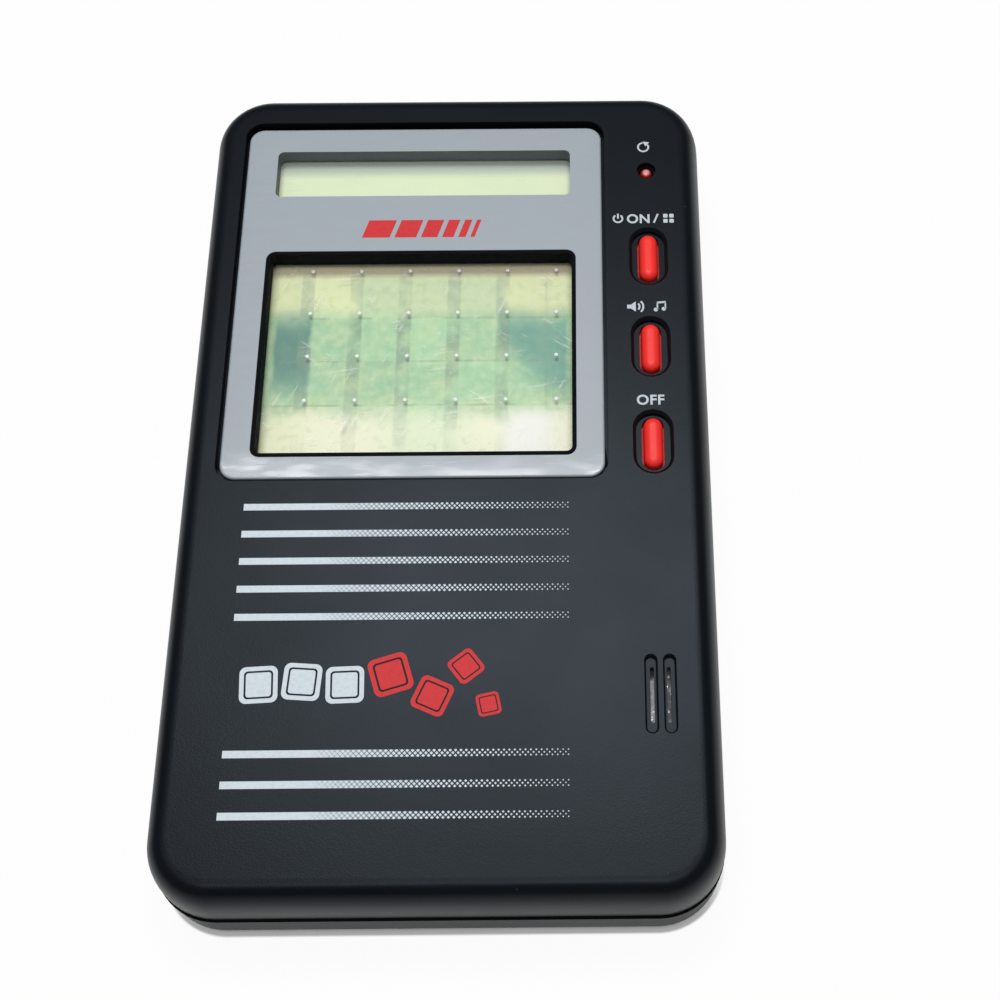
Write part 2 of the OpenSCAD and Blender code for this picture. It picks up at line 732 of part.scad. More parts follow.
module rear_case() {
    tongue_in = wall + seam_clear;
    tongue_foot = 2;
    block_wall = 0.8;
    block_l = hinge_pin_l + 2*door_gap + block_wall;
    block_w = hinge_pin_d + 2*block_wall;
    block_h = hinge_pin_d + block_wall;
    notch_r = 7;
    hole_w = door_w + 2*door_gap;
    foot_w = hole_w + 2*bay_wall;
    tab_clear = 0.4;
    head_clear = 0.6;
    color(grey_black)
    difference() {
        union() {
            rear_shell();
            difference() {
                union() {
                    translate([0, 0, rim_z - tongue_foot])
                        round_plate(case_w - wall, case_l - wall, tongue_foot, corner_r - wall/2);
                    translate([0, 0, rim_z - tongue_foot])
                        round_plate(case_w - 2*tongue_in, case_l - 2*tongue_in, tongue_foot + tongue_h,
                            corner_r - tongue_in);
                }
                translate([0, 0, rim_z - tongue_foot - over])
                    round_plate(case_w - 2*tongue_in - 2*tongue_t, case_l - 2*tongue_in - 2*tongue_t,
                        tongue_foot + tongue_h + 2*over, corner_r - tongue_in - tongue_t);
            }
            for (p = posts)
                at(p, bite)
                    cylinder(d = rear_boss_d, h = rear_h - bite);
            at([bay_x, bay_y], door_top_z)
                plate(bay_l + 2*bay_wall, bay_w + 2*bay_wall, bay_roof_z + bay_wall - door_top_z);
            translate([bay_x - foot_w/2, door_y0 - door_gap - bay_wall, floor_z - bite])
                cube([foot_w, hinge_y + hinge_r - door_y0 + 2*door_gap + 2*bay_wall, bite + bay_wall]);
            for (s = [-1, 1])
                at([bay_x + s*(door_w/2 + door_gap + block_l/2), hinge_y], floor_z - bite)
                    plate(block_l, block_w, bite + block_h);
        }
        at([bay_x, bay_y], door_top_z - over)
            plate(bay_l, bay_w, bay_roof_z - door_top_z + over);
        translate([bay_x - hole_w/2, door_y0 - door_gap, -over])
            cube([hole_w, hinge_y + hinge_r - door_y0 + 2*door_gap, over + door_top_z]);
        translate([bay_x - hole_w/2, hinge_y - hinge_r, -over])
            cube([hole_w, 2*hinge_r + door_gap, over + door_top_z + door_gap]);
        at([bay_x, door_y0 - door_gap], -notch_r + door_sink + door_t/2)
            rotate([90, 0, 0])
                cylinder(r = notch_r, h = 2*notch_r/5, center = true);
        for (s = [-1, 1])
            translate([bay_x + s*door_w/2, hinge_y, hinge_z])
                rotate([0, 90*s, 0])
                    cylinder(d = hinge_pin_d + 2*hinge_clear, h = hinge_pin_l + door_gap);
        for (p = posts)
            at(p, 0) {
                translate([0, 0, -over])
                    cylinder(d = screw_head_d + head_clear, h = screw_seat + over);
                cylinder(d = screw_d + head_clear, h = rear_h + over);
            }
        for (y = [cell_1_y, cell_2_y])
            at([bay_x0 + contact_t/2, y], bay_roof_z - over)
                plate(contact_t + tab_clear, tab_w + tab_clear, bay_wall + 2*over);
    }
}

module bezel() {
    color(silver)
    difference() {
        union() {
            at([bezel_x, bezel_y], recess_z)
                sided_block(bezel_w, bezel_l, bezel_t, bezel_corner_r)
                    rolled_side(bezel_corner_r, bezel_t, bezel_roll);
            at(status_c, pane_z)
                round_plate(status_w + 2*skirt_t, status_l + 2*skirt_t, recess_z - pane_z + bezel_t/2,
                    status_corner_r + skirt_t);
        }
        at(game_c, recess_z - over)
            round_plate(game_w, game_l, bezel_t + 2*over, game_corner_r);
        at(status_c, pane_z - over)
            round_plate(status_w, status_l, status_depth + 2*over, status_corner_r);
    }
}

module status_pane() {
    color(clear)
        at(status_c, status_glass_z)
            plate(status_glass_w, status_glass_l, pane_t);
}

module touch_gasket() {
    color(black)
        at(game_c, film_z)
            difference() {
                plate(touch_w, touch_l, gasket_t);
                translate([0, 0, -over])
                    plate(game_w - 2*collar_t, game_l - 2*collar_t, gasket_t + 2*over);
            }
}

module touch_film() {
    color(clear)
        at(game_c, film_z - film_t)
            plate(touch_w, touch_l, film_t);
}

module touch_spacer() {
    color(rubber_white)
        at(game_c, film_z - film_t - spacer_t)
            difference() {
                plate(touch_w, touch_l, spacer_t);
                translate([0, 0, -over])
                    plate(touch_w - 2*spacer_w, touch_l - 2*spacer_w, spacer_t + 2*over);
            }
}

module touch_dots() {
    color(rubber_white)
        for (i = [0:dot_cols - 1], j = [0:dot_rows - 1])
            at([dot_0[0] + i*dot_pitch_x, dot_0[1] - j*dot_pitch_y], film_z - film_t - spacer_t)
                cylinder(d = dot_d, h = spacer_t, $fn = 16);
}

module touch_base() {
    color(clear)
        at(game_c, game_glass_z)
            plate(touch_w, touch_l, base_t);
}

// Flex tail: out of the touch base's right end, over the frame and down to its socket
socket_w = 2.6;
socket_h = 2;
tail_run = 2.2;
tail_x0 = game_c[0] + touch_w/2;
tail_x1 = max(tail_x0, frame_x1) + tail_run/2;
module touch_tail() {
    tail_z = game_glass_z + base_t/2;
    foot_z = board_top + socket_h/2;
    tail_x2 = tail_x1 + tail_run/2;
    color(brass)
        translate([0, gap_2_y + tail_w/2, 0])
            rotate([90, 0, 0])
                linear_extrude(tail_w)
                    polygon([
                        [tail_x0, tail_z], [tail_x1, tail_z], [tail_x1, foot_z], [tail_x2, foot_z],
                        [tail_x2, foot_z - tail_t], [tail_x1 - tail_t, foot_z - tail_t],
                        [tail_x1 - tail_t, tail_z - tail_t], [tail_x0, tail_z - tail_t]
                    ]);
}

module touch_socket() {
    socket_lap = 2;
    color(rubber_white)
        at([tail_x1 + tail_run/2 + socket_w/2, gap_2_y], board_top)
            plate(socket_w, tail_w + socket_lap, socket_h);
}

// Display cell: a front glass whose contact ledge reaches past the rear glass at the lower side
module lcd_cell(w, l) {
    translate([-w/2, -l/2 - ledge_w, -glass_t])
        cube([w, l + ledge_w, glass_t]);
    translate([0, 0, -2*glass_t])
        plate(w, l, glass_t);
}

module game_lcd() {
    color(lcd_green)
        at(game_c, game_glass_z)
            lcd_cell(glass_w, glass_l);
}

module status_lcd() {
    color(lcd_pale)
        at(status_c, status_glass_z)
            lcd_cell(status_glass_w, status_glass_l);
}

module game_reflector() {
    color(steel)
        at(game_c, game_glass_z - 2*glass_t - reflector_t)
            plate(glass_w, glass_l, reflector_t);
}

module status_reflector() {
    color(steel)
        at(status_c, status_glass_z - 2*glass_t - reflector_t)
            plate(status_glass_w, status_glass_l, reflector_t);
}

module game_strip() {
    color(carbon)
        at([game_c[0], game_strip_y], board_top)
            plate(game_w, strip_t, game_glass_z - glass_t - board_top);
}

module status_strip() {
    color(carbon)
        at([status_c[0], status_strip_y], board_top)
            plate(status_w, strip_t, status_glass_z - glass_t - board_top);
}

// Room for one display in the frame: rear glass on a shelf, and the strip's slot
module lcd_room(w, l, strip_w, shelf_z) {
    translate([0, 0, shelf_z])
        plate(w + 2*frame_play, l + 2*frame_play, front_h);
    plate(w - 2*frame_shelf, l - 2*frame_shelf, shelf_z + over);
    translate([0, -l/2 - ledge_w/2, 0])
        plate(strip_w + 2*frame_play, strip_t + 2*frame_play, face_z);
}

module lcd_frame() {
    front_shelf_z = game_glass_z - glass_t;
    post_clear = 0.4;
    color(rubber_white)
    difference() {
        translate([frame_x0, frame_y0, board_top])
            cube([frame_x1 - frame_x0, frame_y1 - frame_y0, game_glass_z - board_top]);
        at(game_c, 0)
            lcd_room(glass_w, glass_l, game_w, game_glass_z - 2*glass_t - reflector_t);
        at([game_c[0], game_c[1] - ledge_w/2], front_shelf_z)
            plate(glass_w + 2*frame_play, glass_l + ledge_w + 2*frame_play, glass_t + over);
        at(status_c, 0)
            lcd_room(status_glass_w, status_glass_l, status_w, status_glass_z - 2*glass_t - reflector_t);
        for (p = posts) {
            at(p, board_top)
                cylinder(d = post_d + 2*post_clear, h = front_h);
            at(p, board_top - over)
                cylinder(d = rear_boss_d + 2*post_clear, h = rear_h - board_top + over + post_clear);
        }
    }
}

module main_board() {
    boss_clear = 0.4;
    screw_hole_d = board_screw_d + boss_clear;
    color(board_green)
    difference() {
        union() {
            translate([-board_w/2, board_bottom, board_z])
                cube([board_w, board_y1 - board_corner_r - board_bottom, board_t]);
            translate([-board_w/2 + board_corner_r, board_bottom, board_z])
                cube([board_w - 2*board_corner_r, board_y1 - board_bottom, board_t]);
            for (s = [-1, 1])
                at([s*(board_w/2 - board_corner_r), board_y1 - board_corner_r], board_z)
                    cylinder(r = board_corner_r, h = board_t);
        }
        for (p = posts)
            at(p, board_z - over)
                cylinder(d = rear_boss_d + 2*boss_clear, h = board_t + 2*over);
        for (b = bosses)
            at(b, board_z - over)
                cylinder(d = screw_hole_d, h = board_t + 2*over);
    }
}

// Pieces on the underside of the board
blob_c = [bezel_x, bezel_y];
module controller_blob() {
    ball_r = (blob_d*blob_d/4 + blob_h*blob_h)/(2*blob_h);
    color(carbon)
        at(blob_c, board_z)
            intersection() {
                translate([0, 0, ball_r - blob_h])
                    sphere(ball_r, $fn = 240);
                translate([-blob_d, -blob_d, -2*blob_h])
                    cube([2*blob_d, 2*blob_d, 2*blob_h]);
            }
}

module crystal() {
    can_w = 3.6;
    can_l = 9.6;
    can_h = 3.2;
    color(steel)
        at([blob_c[0] + blob_d, blob_c[1]], board_z - can_h)
            stadium(can_w, can_l, can_h);
}

module board_resistors() {
    chip_w = 2;
    chip_l = 1.25;
    chip_h = 0.6;
    row_pitch = 3;
    color(carbon)
        for (i = [0:5])
            at([blob_c[0] - blob_d, blob_c[1] + (i - 2.5)*row_pitch], board_z - chip_h)
                plate(chip_w, chip_l, chip_h);
}

module board_capacitors() {
    can_d = 5;
    can_h = 4.4;
    color(steel)
        for (s = [-1, 1])
            at([blob_c[0] + s*can_d, blob_c[1] - blob_d*1.5], board_z - can_h)
                cylinder(d = can_d, h = can_h);
}

module key_pads() {
    pad_lap = 0.3;
    color(carbon)
        for (c = [pill_c(0), pill_c(1), pill_c(2), reset_c])
            at(c, board_top)
                cylinder(d = contact_d + 2*pad_lap, h = pad_t);
}

module board_screws() {
    color(steel)
        for (b = bosses)
            at(b, board_z)
                screw(board_screw_head_d, board_screw_head_h, board_screw_d, board_screw_l);
}

module case_screws() {
    color(steel)
        for (p = posts)
            at(p, screw_seat)
                screw(screw_head_d, screw_head_h, screw_d, screw_l);
}

// Pill button: rolled cap, flange under the case and a stem down to its dome
module pill_button(c) {
    stem_d = 3;
    color(red)
        at(c, 0) {
            translate([0, 0, flange_z])
                rolled_stadium(pill_w, pill_l, face_z + pill_proud - flange_z, pill_roll);
            translate([0, 0, flange_z - flange_t])
                stadium(pill_w + 2*flange_w, pill_l + 2*flange_w, flange_t);
            translate([0, 0, crown_z])
                cylinder(d = stem_d, h = flange_z - flange_t - crown_z);
        }
}

module contact_pill(c) {
    foot_z = board_top + pad_t + button_travel + contact_gap;
    color(carbon)
        at(c, foot_z)
            cylinder(d = contact_d, h = crown_z - crown_t - foot_z);
}

// Silicone dome: a foot on the board, a sloping wall and a thick crown
module dome(c) {
    foot_h = 0.5;
    foot_r = dome_d/2;
    lean = 0.35;
    crown_r = foot_r - lean*dome_h;
    color(rubber_white)
        at(c, board_top)
            rotate_extrude()
                polygon([
                    [foot_r - 2*dome_t, 0], [foot_r, 0], [foot_r, foot_h], [foot_r - dome_t/2, foot_h],
                    [crown_r, dome_h], [0, dome_h], [0, dome_h - crown_t],
                    [crown_r - dome_t, dome_h - crown_t], [foot_r - 2*dome_t, foot_h]
                ]);
}

module on_button() { pill_button(pill_c(0)); }
module on_contact() { contact_pill(pill_c(0)); }
module on_dome() { dome(pill_c(0)); }
module sound_button() { pill_button(pill_c(1)); }
module sound_contact() { contact_pill(pill_c(1)); }
module sound_dome() { dome(pill_c(1)); }
module off_button() { pill_button(pill_c(2)); }
module off_contact() { contact_pill(pill_c(2)); }
module off_dome() { dome(pill_c(2)); }

module reset_button() {
    flange_d = reset_d + 2*flange_w;
    stem_d = 2.4;
    tip_roll = 0.7;
    color(red)
        at(reset_c, 0) {
            translate([0, 0, flange_z])
                rotate_extrude()
                    rolled_side(reset_d/2, face_z - reset_sink - flange_z, tip_roll);
            translate([0, 0, flange_z - flange_t])
                cylinder(d = flange_d, h = flange_t);
            translate([0, 0, crown_z])
                cylinder(d = stem_d, h = flange_z - flange_t - crown_z);
        }
}
module reset_contact() { contact_pill(reset_c); }
module reset_dome() { dome(reset_c); }

disc_z = shelf_z - disc_t;
module sounder_disc() {
    color(brass)
        at([disc_x, sound_y], disc_z)
            cylinder(d = disc_d, h = disc_t);
}

module sounder_ceramic() {
    color(rubber_white)
        at([disc_x, sound_y], disc_z - ceramic_t)
            cylinder(d = ceramic_d, h = ceramic_t);
}

// Last stretch of every lead: past the bay, then down to the board's upper face near its lower edge
lead_bend = 3.5;
land_in = 4;
land_drop = 1.5;
bend_y = bay_y + bay_w/2 + bay_wall + lead_bend;
land_y = board_bottom + land_in;
function lead_landing(x, z) = [
    [x, bend_y, z], [x, (bend_y + land_y)/2, z - land_drop], [x, land_y, board_top + 2*land_drop],
    [x, land_y, board_top + land_drop], [x, land_y, board_top]
];

module lead(start, z, d) {
    tube(curve(concat(start, lead_landing(start[0][0], z)), 4), d/2, 8);
}

// One lead from the brass, one from the ceramic, each leaving straight down
module sounder_leads() {
    fine_d = lead_d/2;
    drop = 0.35;
    hang = 1.8;
    run_y = sound_y + lead_bend;
    run_z = disc_z - ceramic_t - hang;
    brass_x = disc_x - ceramic_d/2 - fine_d;
    ceramic_x = disc_x - ceramic_d/4;
    color(black)
        for (foot = [[brass_x, disc_z], [ceramic_x, disc_z - ceramic_t]])
            lead([
                [foot[0], sound_y, foot[1]], [foot[0], sound_y, foot[1] - drop],
                [foot[0], sound_y, foot[1] - 2*drop], [foot[0], run_y, run_z]
            ], run_z, fine_d);
}

module battery_door() {
    pin_reach = door_w/2 + hinge_pin_l;
    rib_t = 0.9;
    rib_h = 2.2;
    rib_l = 14;
    rib_gap = 0.35;
    groove_w = 1;
    groove_depth = 0.4;
    groove_pitch = 2;
    groove_l = 12;
    groove_in = 3;
    color(grey_black)
    difference() {
        union() {
            translate([bay_x - door_w/2, door_y0, door_sink])
                cube([door_w, hinge_y - door_y0, door_t]);
            translate([bay_x - door_w/2, hinge_y, hinge_z])
                rotate([0, 90, 0])
                    cylinder(r = hinge_r, h = door_w);
            translate([bay_x - pin_reach, hinge_y, hinge_z])
                rotate([0, 90, 0])
                    cylinder(d = hinge_pin_d, h = 2*pin_reach);
            translate([bay_x - rib_l/2, bay_y - bay_w/2 + rib_gap, door_top_z - bite])
                cube([rib_l, rib_t, bite + rib_h]);
        }
        for (i = [0:4])
            translate([bay_x - groove_l/2, door_y0 + groove_in + i*groove_pitch, door_sink - over])
                cube([groove_l, groove_w, over + groove_depth]);
    }
}

// Cell along X with its nub towards +X, its flat end at x = 0
module cell() {
    rotate([0, 90, 0]) {
        cylinder(d = cell_d, h = cell_l - nub_h);
        cylinder(d = nub_d, h = cell_l);
    }
}

module battery_1() {
    color(silver)
        translate([bay_x1 - contact_t - cell_l, cell_1_y, cell_z])
            cell();
}

module battery_2() {
    color(silver)
        translate([bay_x0 + contact_t + cell_l, cell_2_y, cell_z])
            rotate([0, 0, 180])
                cell();
}

// Contact plate at the bay's left end, with a solder tab through the roof
module tabbed_plate(y) {
    translate([bay_x0, y - plate_w/2, plate_z])
        cube([contact_t, plate_w, plate_w]);
    translate([bay_x0, y - tab_w/2, plate_z + plate_w - bite])
        cube([contact_t, tab_w, tab_z - plate_z - plate_w + bite]);
}

coil_reach = spring_l - spring_wire;
module battery_spring() {
    color(steel) {
        tabbed_plate(cell_1_y);
        translate([bay_x0 + contact_t, cell_1_y, cell_z])
            coil(coil_reach);
    }
}

module battery_plate() {
    color(steel)
        tabbed_plate(cell_2_y);
}

module battery_bridge() {
    color(steel) {
        translate([bay_x1 - contact_t, cell_2_y - plate_w/2, plate_z])
            cube([contact_t, cell_pitch + plate_w, plate_w]);
        translate([bay_x1 - contact_t, cell_2_y, cell_z])
            rotate([0, 0, 180])
                coil(coil_reach);
    }
}

// Battery leads lie beside the solder tabs, one on either side, and run level over the bay's roof
tab_gap = 0.15;
lead_z = bay_roof_z + bay_wall + lead_d/2 + tab_gap;
module positive_lead() {
    x = bay_x0 + contact_t + tab_gap + lead_d/2;
    color("red")
        lead([[x, cell_2_y - tab_w/2, lead_z], [x, cell_2_y + tab_w, lead_z]], lead_z, lead_d);
}

module negative_lead() {
    x = bay_x0 - tab_gap - lead_d/2;
    color(black)
        lead([[x, cell_1_y - tab_w/2, lead_z], [x, cell_1_y + tab_w, lead_z]], lead_z, lead_d);
}

front_case();
rear_case();
bezel();
status_pane();
touch_gasket();
touch_film();
touch_spacer();
touch_dots();
touch_base();
touch_tail();
touch_socket();
game_lcd();
game_reflector();
game_strip();
status_lcd();
status_reflector();
status_strip();
lcd_frame();
main_board();
controller_blob();
crystal();
board_resistors();
board_capacitors();
key_pads();
board_screws();
case_screws();
on_button();
on_contact();
on_dome();
sound_button();
sound_contact();
sound_dome();
off_button();
off_contact();
off_dome();
reset_button();
reset_contact();
reset_dome();
sounder_disc();
sounder_ceramic();
sounder_leads();
battery_door();
battery_1();
battery_2();
battery_spring();
battery_plate();
battery_bridge();
positive_lead();
negative_lead();
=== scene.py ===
"""Looks of a handheld electronic word game: its finishes, printed marks, cells and a plain white stage."""
import math

import bpy
import numpy as np
from bpy.props import FloatProperty, FloatVectorProperty, IntProperty, PointerProperty
from mathutils import Matrix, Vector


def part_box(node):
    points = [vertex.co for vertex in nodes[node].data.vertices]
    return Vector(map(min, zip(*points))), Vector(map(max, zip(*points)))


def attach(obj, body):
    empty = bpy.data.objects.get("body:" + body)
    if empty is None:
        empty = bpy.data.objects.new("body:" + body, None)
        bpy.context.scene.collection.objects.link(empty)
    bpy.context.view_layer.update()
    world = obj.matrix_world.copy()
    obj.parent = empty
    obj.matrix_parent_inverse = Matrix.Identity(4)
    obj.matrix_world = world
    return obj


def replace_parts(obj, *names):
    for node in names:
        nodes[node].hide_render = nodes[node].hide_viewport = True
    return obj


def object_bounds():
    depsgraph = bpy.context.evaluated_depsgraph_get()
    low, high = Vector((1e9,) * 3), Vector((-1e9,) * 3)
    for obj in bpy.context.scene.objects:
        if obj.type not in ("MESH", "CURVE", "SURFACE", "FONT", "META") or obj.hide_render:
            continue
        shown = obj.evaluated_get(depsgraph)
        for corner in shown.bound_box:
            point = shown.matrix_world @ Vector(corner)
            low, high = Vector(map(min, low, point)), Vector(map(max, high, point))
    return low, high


bl_info = {
    "name": "Electronic Word Game",
    "version": (1, 0, 0),
    "blender": (4, 5, 0),
    "location": "View3D > Sidebar > Word Game",
    "description": "Finishes, printed marks and stage of a handheld electronic word game",
    "category": "Object",
}

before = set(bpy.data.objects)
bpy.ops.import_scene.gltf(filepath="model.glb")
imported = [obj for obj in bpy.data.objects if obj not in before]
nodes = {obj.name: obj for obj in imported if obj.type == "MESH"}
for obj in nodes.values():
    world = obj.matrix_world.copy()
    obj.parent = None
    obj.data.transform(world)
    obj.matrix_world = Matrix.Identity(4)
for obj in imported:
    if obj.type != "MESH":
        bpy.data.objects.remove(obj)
cad_low, cad_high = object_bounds()

MM = 0.001
INK = 0.02*MM
TURN_STEPS = 64
BUTTONS = ("on", "sound", "off", "reset")

# Places taken from the frame
bezel_low, bezel_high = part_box("bezel")
dots_low, dots_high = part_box("touch_dots")
dot_columns, dot_rows = 6, 4
dot_size = 0.6*MM
face_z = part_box("front_case")[1].z
bezel_z = bezel_high.z


def middle(node):
    """Centre of a node's box, seen from above."""
    low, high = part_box(node)
    return np.array([(low.x + high.x)/2, (low.y + high.y)/2])


def colour_property(name, description, default):
    return FloatVectorProperty(name=name, description=description, subtype="COLOR", size=3,
                               min=0, max=1, default=default)


def length_property(name, description, default_mm):
    return FloatProperty(name=name, description=description, subtype="DISTANCE", unit="LENGTH",
                         default=default_mm*MM)


class ShellLooks(bpy.types.PropertyGroup):
    """Colours and grain of the case, the bezel and the buttons."""

    front: colour_property("Front case", "Blue-black of the front case", (0.0028, 0.0038, 0.0058))
    rear: colour_property("Rear case", "Grey-black of the rear case and its door", (0.042, 0.043, 0.044))
    bezel: colour_property("Bezel", "Silver-grey of the bezel", (0.345, 0.39, 0.43))
    button: colour_property("Buttons", "Red of the buttons", (0.97, 0.03, 0.024))
    grain: length_property("Grain", "Size of the moulded grain", 0.22)


class ScreenLooks(bpy.types.PropertyGroup):
    """Colours of the two displays."""

    status: colour_property("Status display", "Pale green of the status display", (0.76, 0.86, 0.59))
    cream: colour_property("Cream rows", "Cream of the touch display's end rows", (0.86, 0.94, 0.50))
    pale: colour_property("Pale row", "Near white of the touch display's lowest row", (0.99, 1.0, 0.72))
    green: colour_property("Green rows", "Green of the touch display's middle rows", (0.36, 0.66, 0.36))
    teal: colour_property("Teal patches", "Teal of the patches at both sides", (0.02, 0.21, 0.165))
    tan: colour_property("Tan band", "Tan of the band along the top", (1.0, 0.88, 0.56))


class PrintLooks(bpy.types.PropertyGroup):
    """Inks and sizes of the printed marks."""

    white: colour_property("White ink", "White of the labels and stripes", (0.66, 0.74, 0.80))
    red: colour_property("Red ink", "Red of the printed motifs", (0.66, 0.035, 0.04))
    stripe_width: length_property("Stripe width", "Width of a stripe", 1.1)
    stripe_pitch: length_property("Stripe pitch", "Spacing of the stripes", 4.48)
    screen_pitch: length_property("Dot screen", "Spacing of the dots that a stripe fades into", 0.77)
    upper_stripes: IntProperty(name="Upper stripes", description="Stripes above the motif", default=5, min=1)
    lower_stripes: IntProperty(name="Lower stripes", description="Stripes below the motif", default=3, min=1)
    label_height: length_property("Label height", "Height of the capitals on the labels", 1.75)


class StageLooks(bpy.types.PropertyGroup):
    """Camera and lamps."""

    camera_place: FloatVectorProperty(name="Camera", description="Place of the camera", size=3,
                                      subtype="TRANSLATION", unit="LENGTH",
                                      default=(21.63*MM, -112.44*MM, 247.53*MM))
    camera_turn: FloatVectorProperty(name="Camera turn", description="Roll, tilt and swing of the camera",
                                     size=3, subtype="EULER", unit="ROTATION",
                                     default=tuple(math.radians(a) for a in (-0.5635, 155.2518, 0.2512)))
    lens: FloatProperty(name="Lens", description="Focal length on a 36 mm wide sensor", unit="CAMERA",
                        default=59.04)
    shift: FloatVectorProperty(name="Lens shift", description="Offset of the picture from the lens axis",
                               size=2, default=(-0.0922, -0.0091))
    key: FloatProperty(name="Key lamp", description="Power of the softbox behind the object", unit="POWER",
                       default=5.2)
    top: FloatProperty(name="Top lamp", description="Power of the softbox above the object", unit="POWER",
                       default=2.5)
    ambient: FloatProperty(name="Ambient", description="Strength of the light from all round", default=0.26)


class Value:
    """A shader socket that takes part in sums: each operator adds one Math node."""

    def __init__(self, finish, socket):
        self.finish = finish
        self.socket = socket

    def out(self, name):
        """Another output of the same node."""
        return Value(self.finish, self.socket.node.outputs[name])

    def maths(self, operation, first, second=0.0):
        return self.finish.add("ShaderNodeMath", {"operation": operation}, {0: first, 1: second})

    def __add__(self, other):
        return self.maths("ADD", self, other)

    def __sub__(self, other):
        return self.maths("SUBTRACT", self, other)

    def __rsub__(self, other):
        return self.maths("SUBTRACT", other, self)

    def __mul__(self, other):
        return self.maths("MULTIPLY", self, other)

    def __truediv__(self, other):
        return self.maths("DIVIDE", self, other)

    def __mod__(self, other):
        return self.maths("FLOORED_MODULO", self, other)

    def __abs__(self):
        return self.maths("ABSOLUTE", self)

    __radd__ = __add__
    __rmul__ = __mul__


class Finish:
    """The nodes of one material or world, with the Object coordinates at hand."""

    def __init__(self, owner):
        owner.use_nodes = True
        self.owner = owner
        self.tree = owner.node_tree
        self.tree.nodes.clear()
        self.place = self.add("ShaderNodeTexCoord", output="Object")

    def add(self, kind, settings=None, inputs=None, output=0):
        """Any node: its settings first, then the values or links of its sockets."""
        node = self.tree.nodes.new(kind)
        for name, setting in (settings or {}).items():
            setattr(node, name, setting)
        for name, value in (inputs or {}).items():
            if isinstance(value, Value):
                self.tree.links.new(value.socket, node.inputs[name])
            else:
                node.inputs[name].default_value = value
        return Value(self, node.outputs[output]) if node.outputs else None

    def axis(self, name):
        """One Object coordinate, in metres."""
        return self.add("ShaderNodeSeparateXYZ", inputs={0: self.place}, output=name)

    def noise(self, size, detail=2.0, stretch=(1, 1, 1), turn=0.0):
        """Soft noise whose blotches are about one size across, drawn out along an axis turned about Z."""
        place = self.add("ShaderNodeMapping", {"vector_type": "TEXTURE"}, {
            "Vector": self.place, "Rotation": (0, 0, turn), "Scale": stretch})
        return self.add("ShaderNodeTexNoise", {}, {"Vector": place, "Scale": 1/size, "Detail": detail})

    def specks(self, spacing, size):
        """Round specks, one to a cell of a random grid: 1 inside a speck and 0 outside."""
        near = self.add("ShaderNodeTexVoronoi", {}, {"Vector": self.place, "Scale": 1/spacing}, "Distance")
        return self.step(near, size, size*0.6)

    def step(self, value, start, end):
        """Smooth step from 0 at start to 1 at end."""
        return self.add("ShaderNodeMapRange", {"interpolation_type": "SMOOTHSTEP"},
                        {"Value": value, "From Min": start, "From Max": end})

    def between(self, value, low, high, soft):
        """1 between two limits and 0 outside them, with soft edges."""
        return self.step(value, low - soft, low + soft)*self.step(value, high + soft, high - soft)

    def mix(self, share, first, second):
        """Colour that goes from the first to the second with a share."""
        def rgba(c):
            return c if isinstance(c, Value) else (*c, 1)
        return self.add("ShaderNodeMix", {"data_type": "RGBA"},
                        {0: share, 6: rgba(first), 7: rgba(second)}, 2)

    def bump(self, height, depth):
        """Normal of a surface raised by a height from 0 to 1, times a depth in metres."""
        return self.add("ShaderNodeBump", {}, {"Height": height, "Distance": depth, "Strength": 1.0})

    def principled(self, **sockets):
        """Principled shader, with its sockets named in words joined by underscores."""
        inputs = {name.replace("_", " ").replace("ior", "IOR"): value for name, value in sockets.items()}
        for name, value in inputs.items():
            if "Color" in name and not isinstance(value, Value):
                inputs[name] = (*value, 1)
        return self.add("ShaderNodeBsdfPrincipled", {}, inputs)

    def blend(self, share, first, second):
        """Two shaders mixed by a share."""
        return self.add("ShaderNodeMixShader", {}, {0: share, 1: first, 2: second})

    def done(self, shader):
        target = "World" if isinstance(self.owner, bpy.types.World) else "Material"
        self.add("ShaderNodeOutput" + target, {}, {"Surface": shader})
        return self.owner


def new_finish(name):
    return Finish(bpy.data.materials.new(name))


def moulded_plastic(name, colour, roughness, grain):
    """Moulded plastic: an even spark-eroded grain, cloudy sheen from handling, and a little pale dust."""
    f = new_finish(name)
    clouds = f.noise(18*MM, 3)
    fine = f.noise(grain, 1)
    dust = f.specks(4*MM, 0.022)*f.step(f.noise(9*MM), 0.5, 0.62)
    tone = f.mix(clouds, [c*0.86 for c in colour], [c*1.14 for c in colour])
    shade = f.mix(dust*0.4, tone, (0.22, 0.23, 0.24))
    return f.done(f.principled(
        Base_Color=shade, Roughness=roughness - 0.06 + clouds*0.1 + dust*0.1, Specular_ior_Level=0.15,
        Specular_Tint=(0.74, 0.87, 1.0, 1), Normal=f.bump(fine, 0.012*MM)))


def silver_paint(name, colour):
    """Silver-grey paint with fine flakes, a slow waviness, streaky varnish and pale streaks of painted glare
    along the lower edge.
    """
    f = new_finish(name)
    flakes = f.noise(0.09*MM, 0)
    waves = f.noise(5*MM, 2)
    # Painted highlight: pale wavy streaks near the lower edge stand in for lamp glare.
    painted_glare_streaks = f.step(f.noise(0.5*MM, 2, (12, 1, 1), 0.05), 0.6, 0.74)
    edge = f.step(f.axis("Y"), bezel_low.y + 6*MM, bezel_low.y)
    varnish = f.step(f.noise(1.6*MM, 3, (4, 1, 1), 0.03), 0.42, 0.66)
    varnish = 0.22 + varnish*(0.5 + f.step(f.axis("X"), bezel_low.x + 9*MM, bezel_low.x + 3*MM)*0.5)
    tone = f.mix(flakes, [c*0.9 for c in colour], [min(c*1.12, 1) for c in colour])
    shade = f.mix(painted_glare_streaks*edge*0.35, tone, (0.75, 0.77, 0.8))
    return f.done(f.principled(
        Base_Color=shade, Roughness=0.35 + waves*0.1, Specular_ior_Level=0.4, Coat_Weight=varnish,
        Coat_Roughness=0.06, Normal=f.bump(waves, 0.01*MM)))


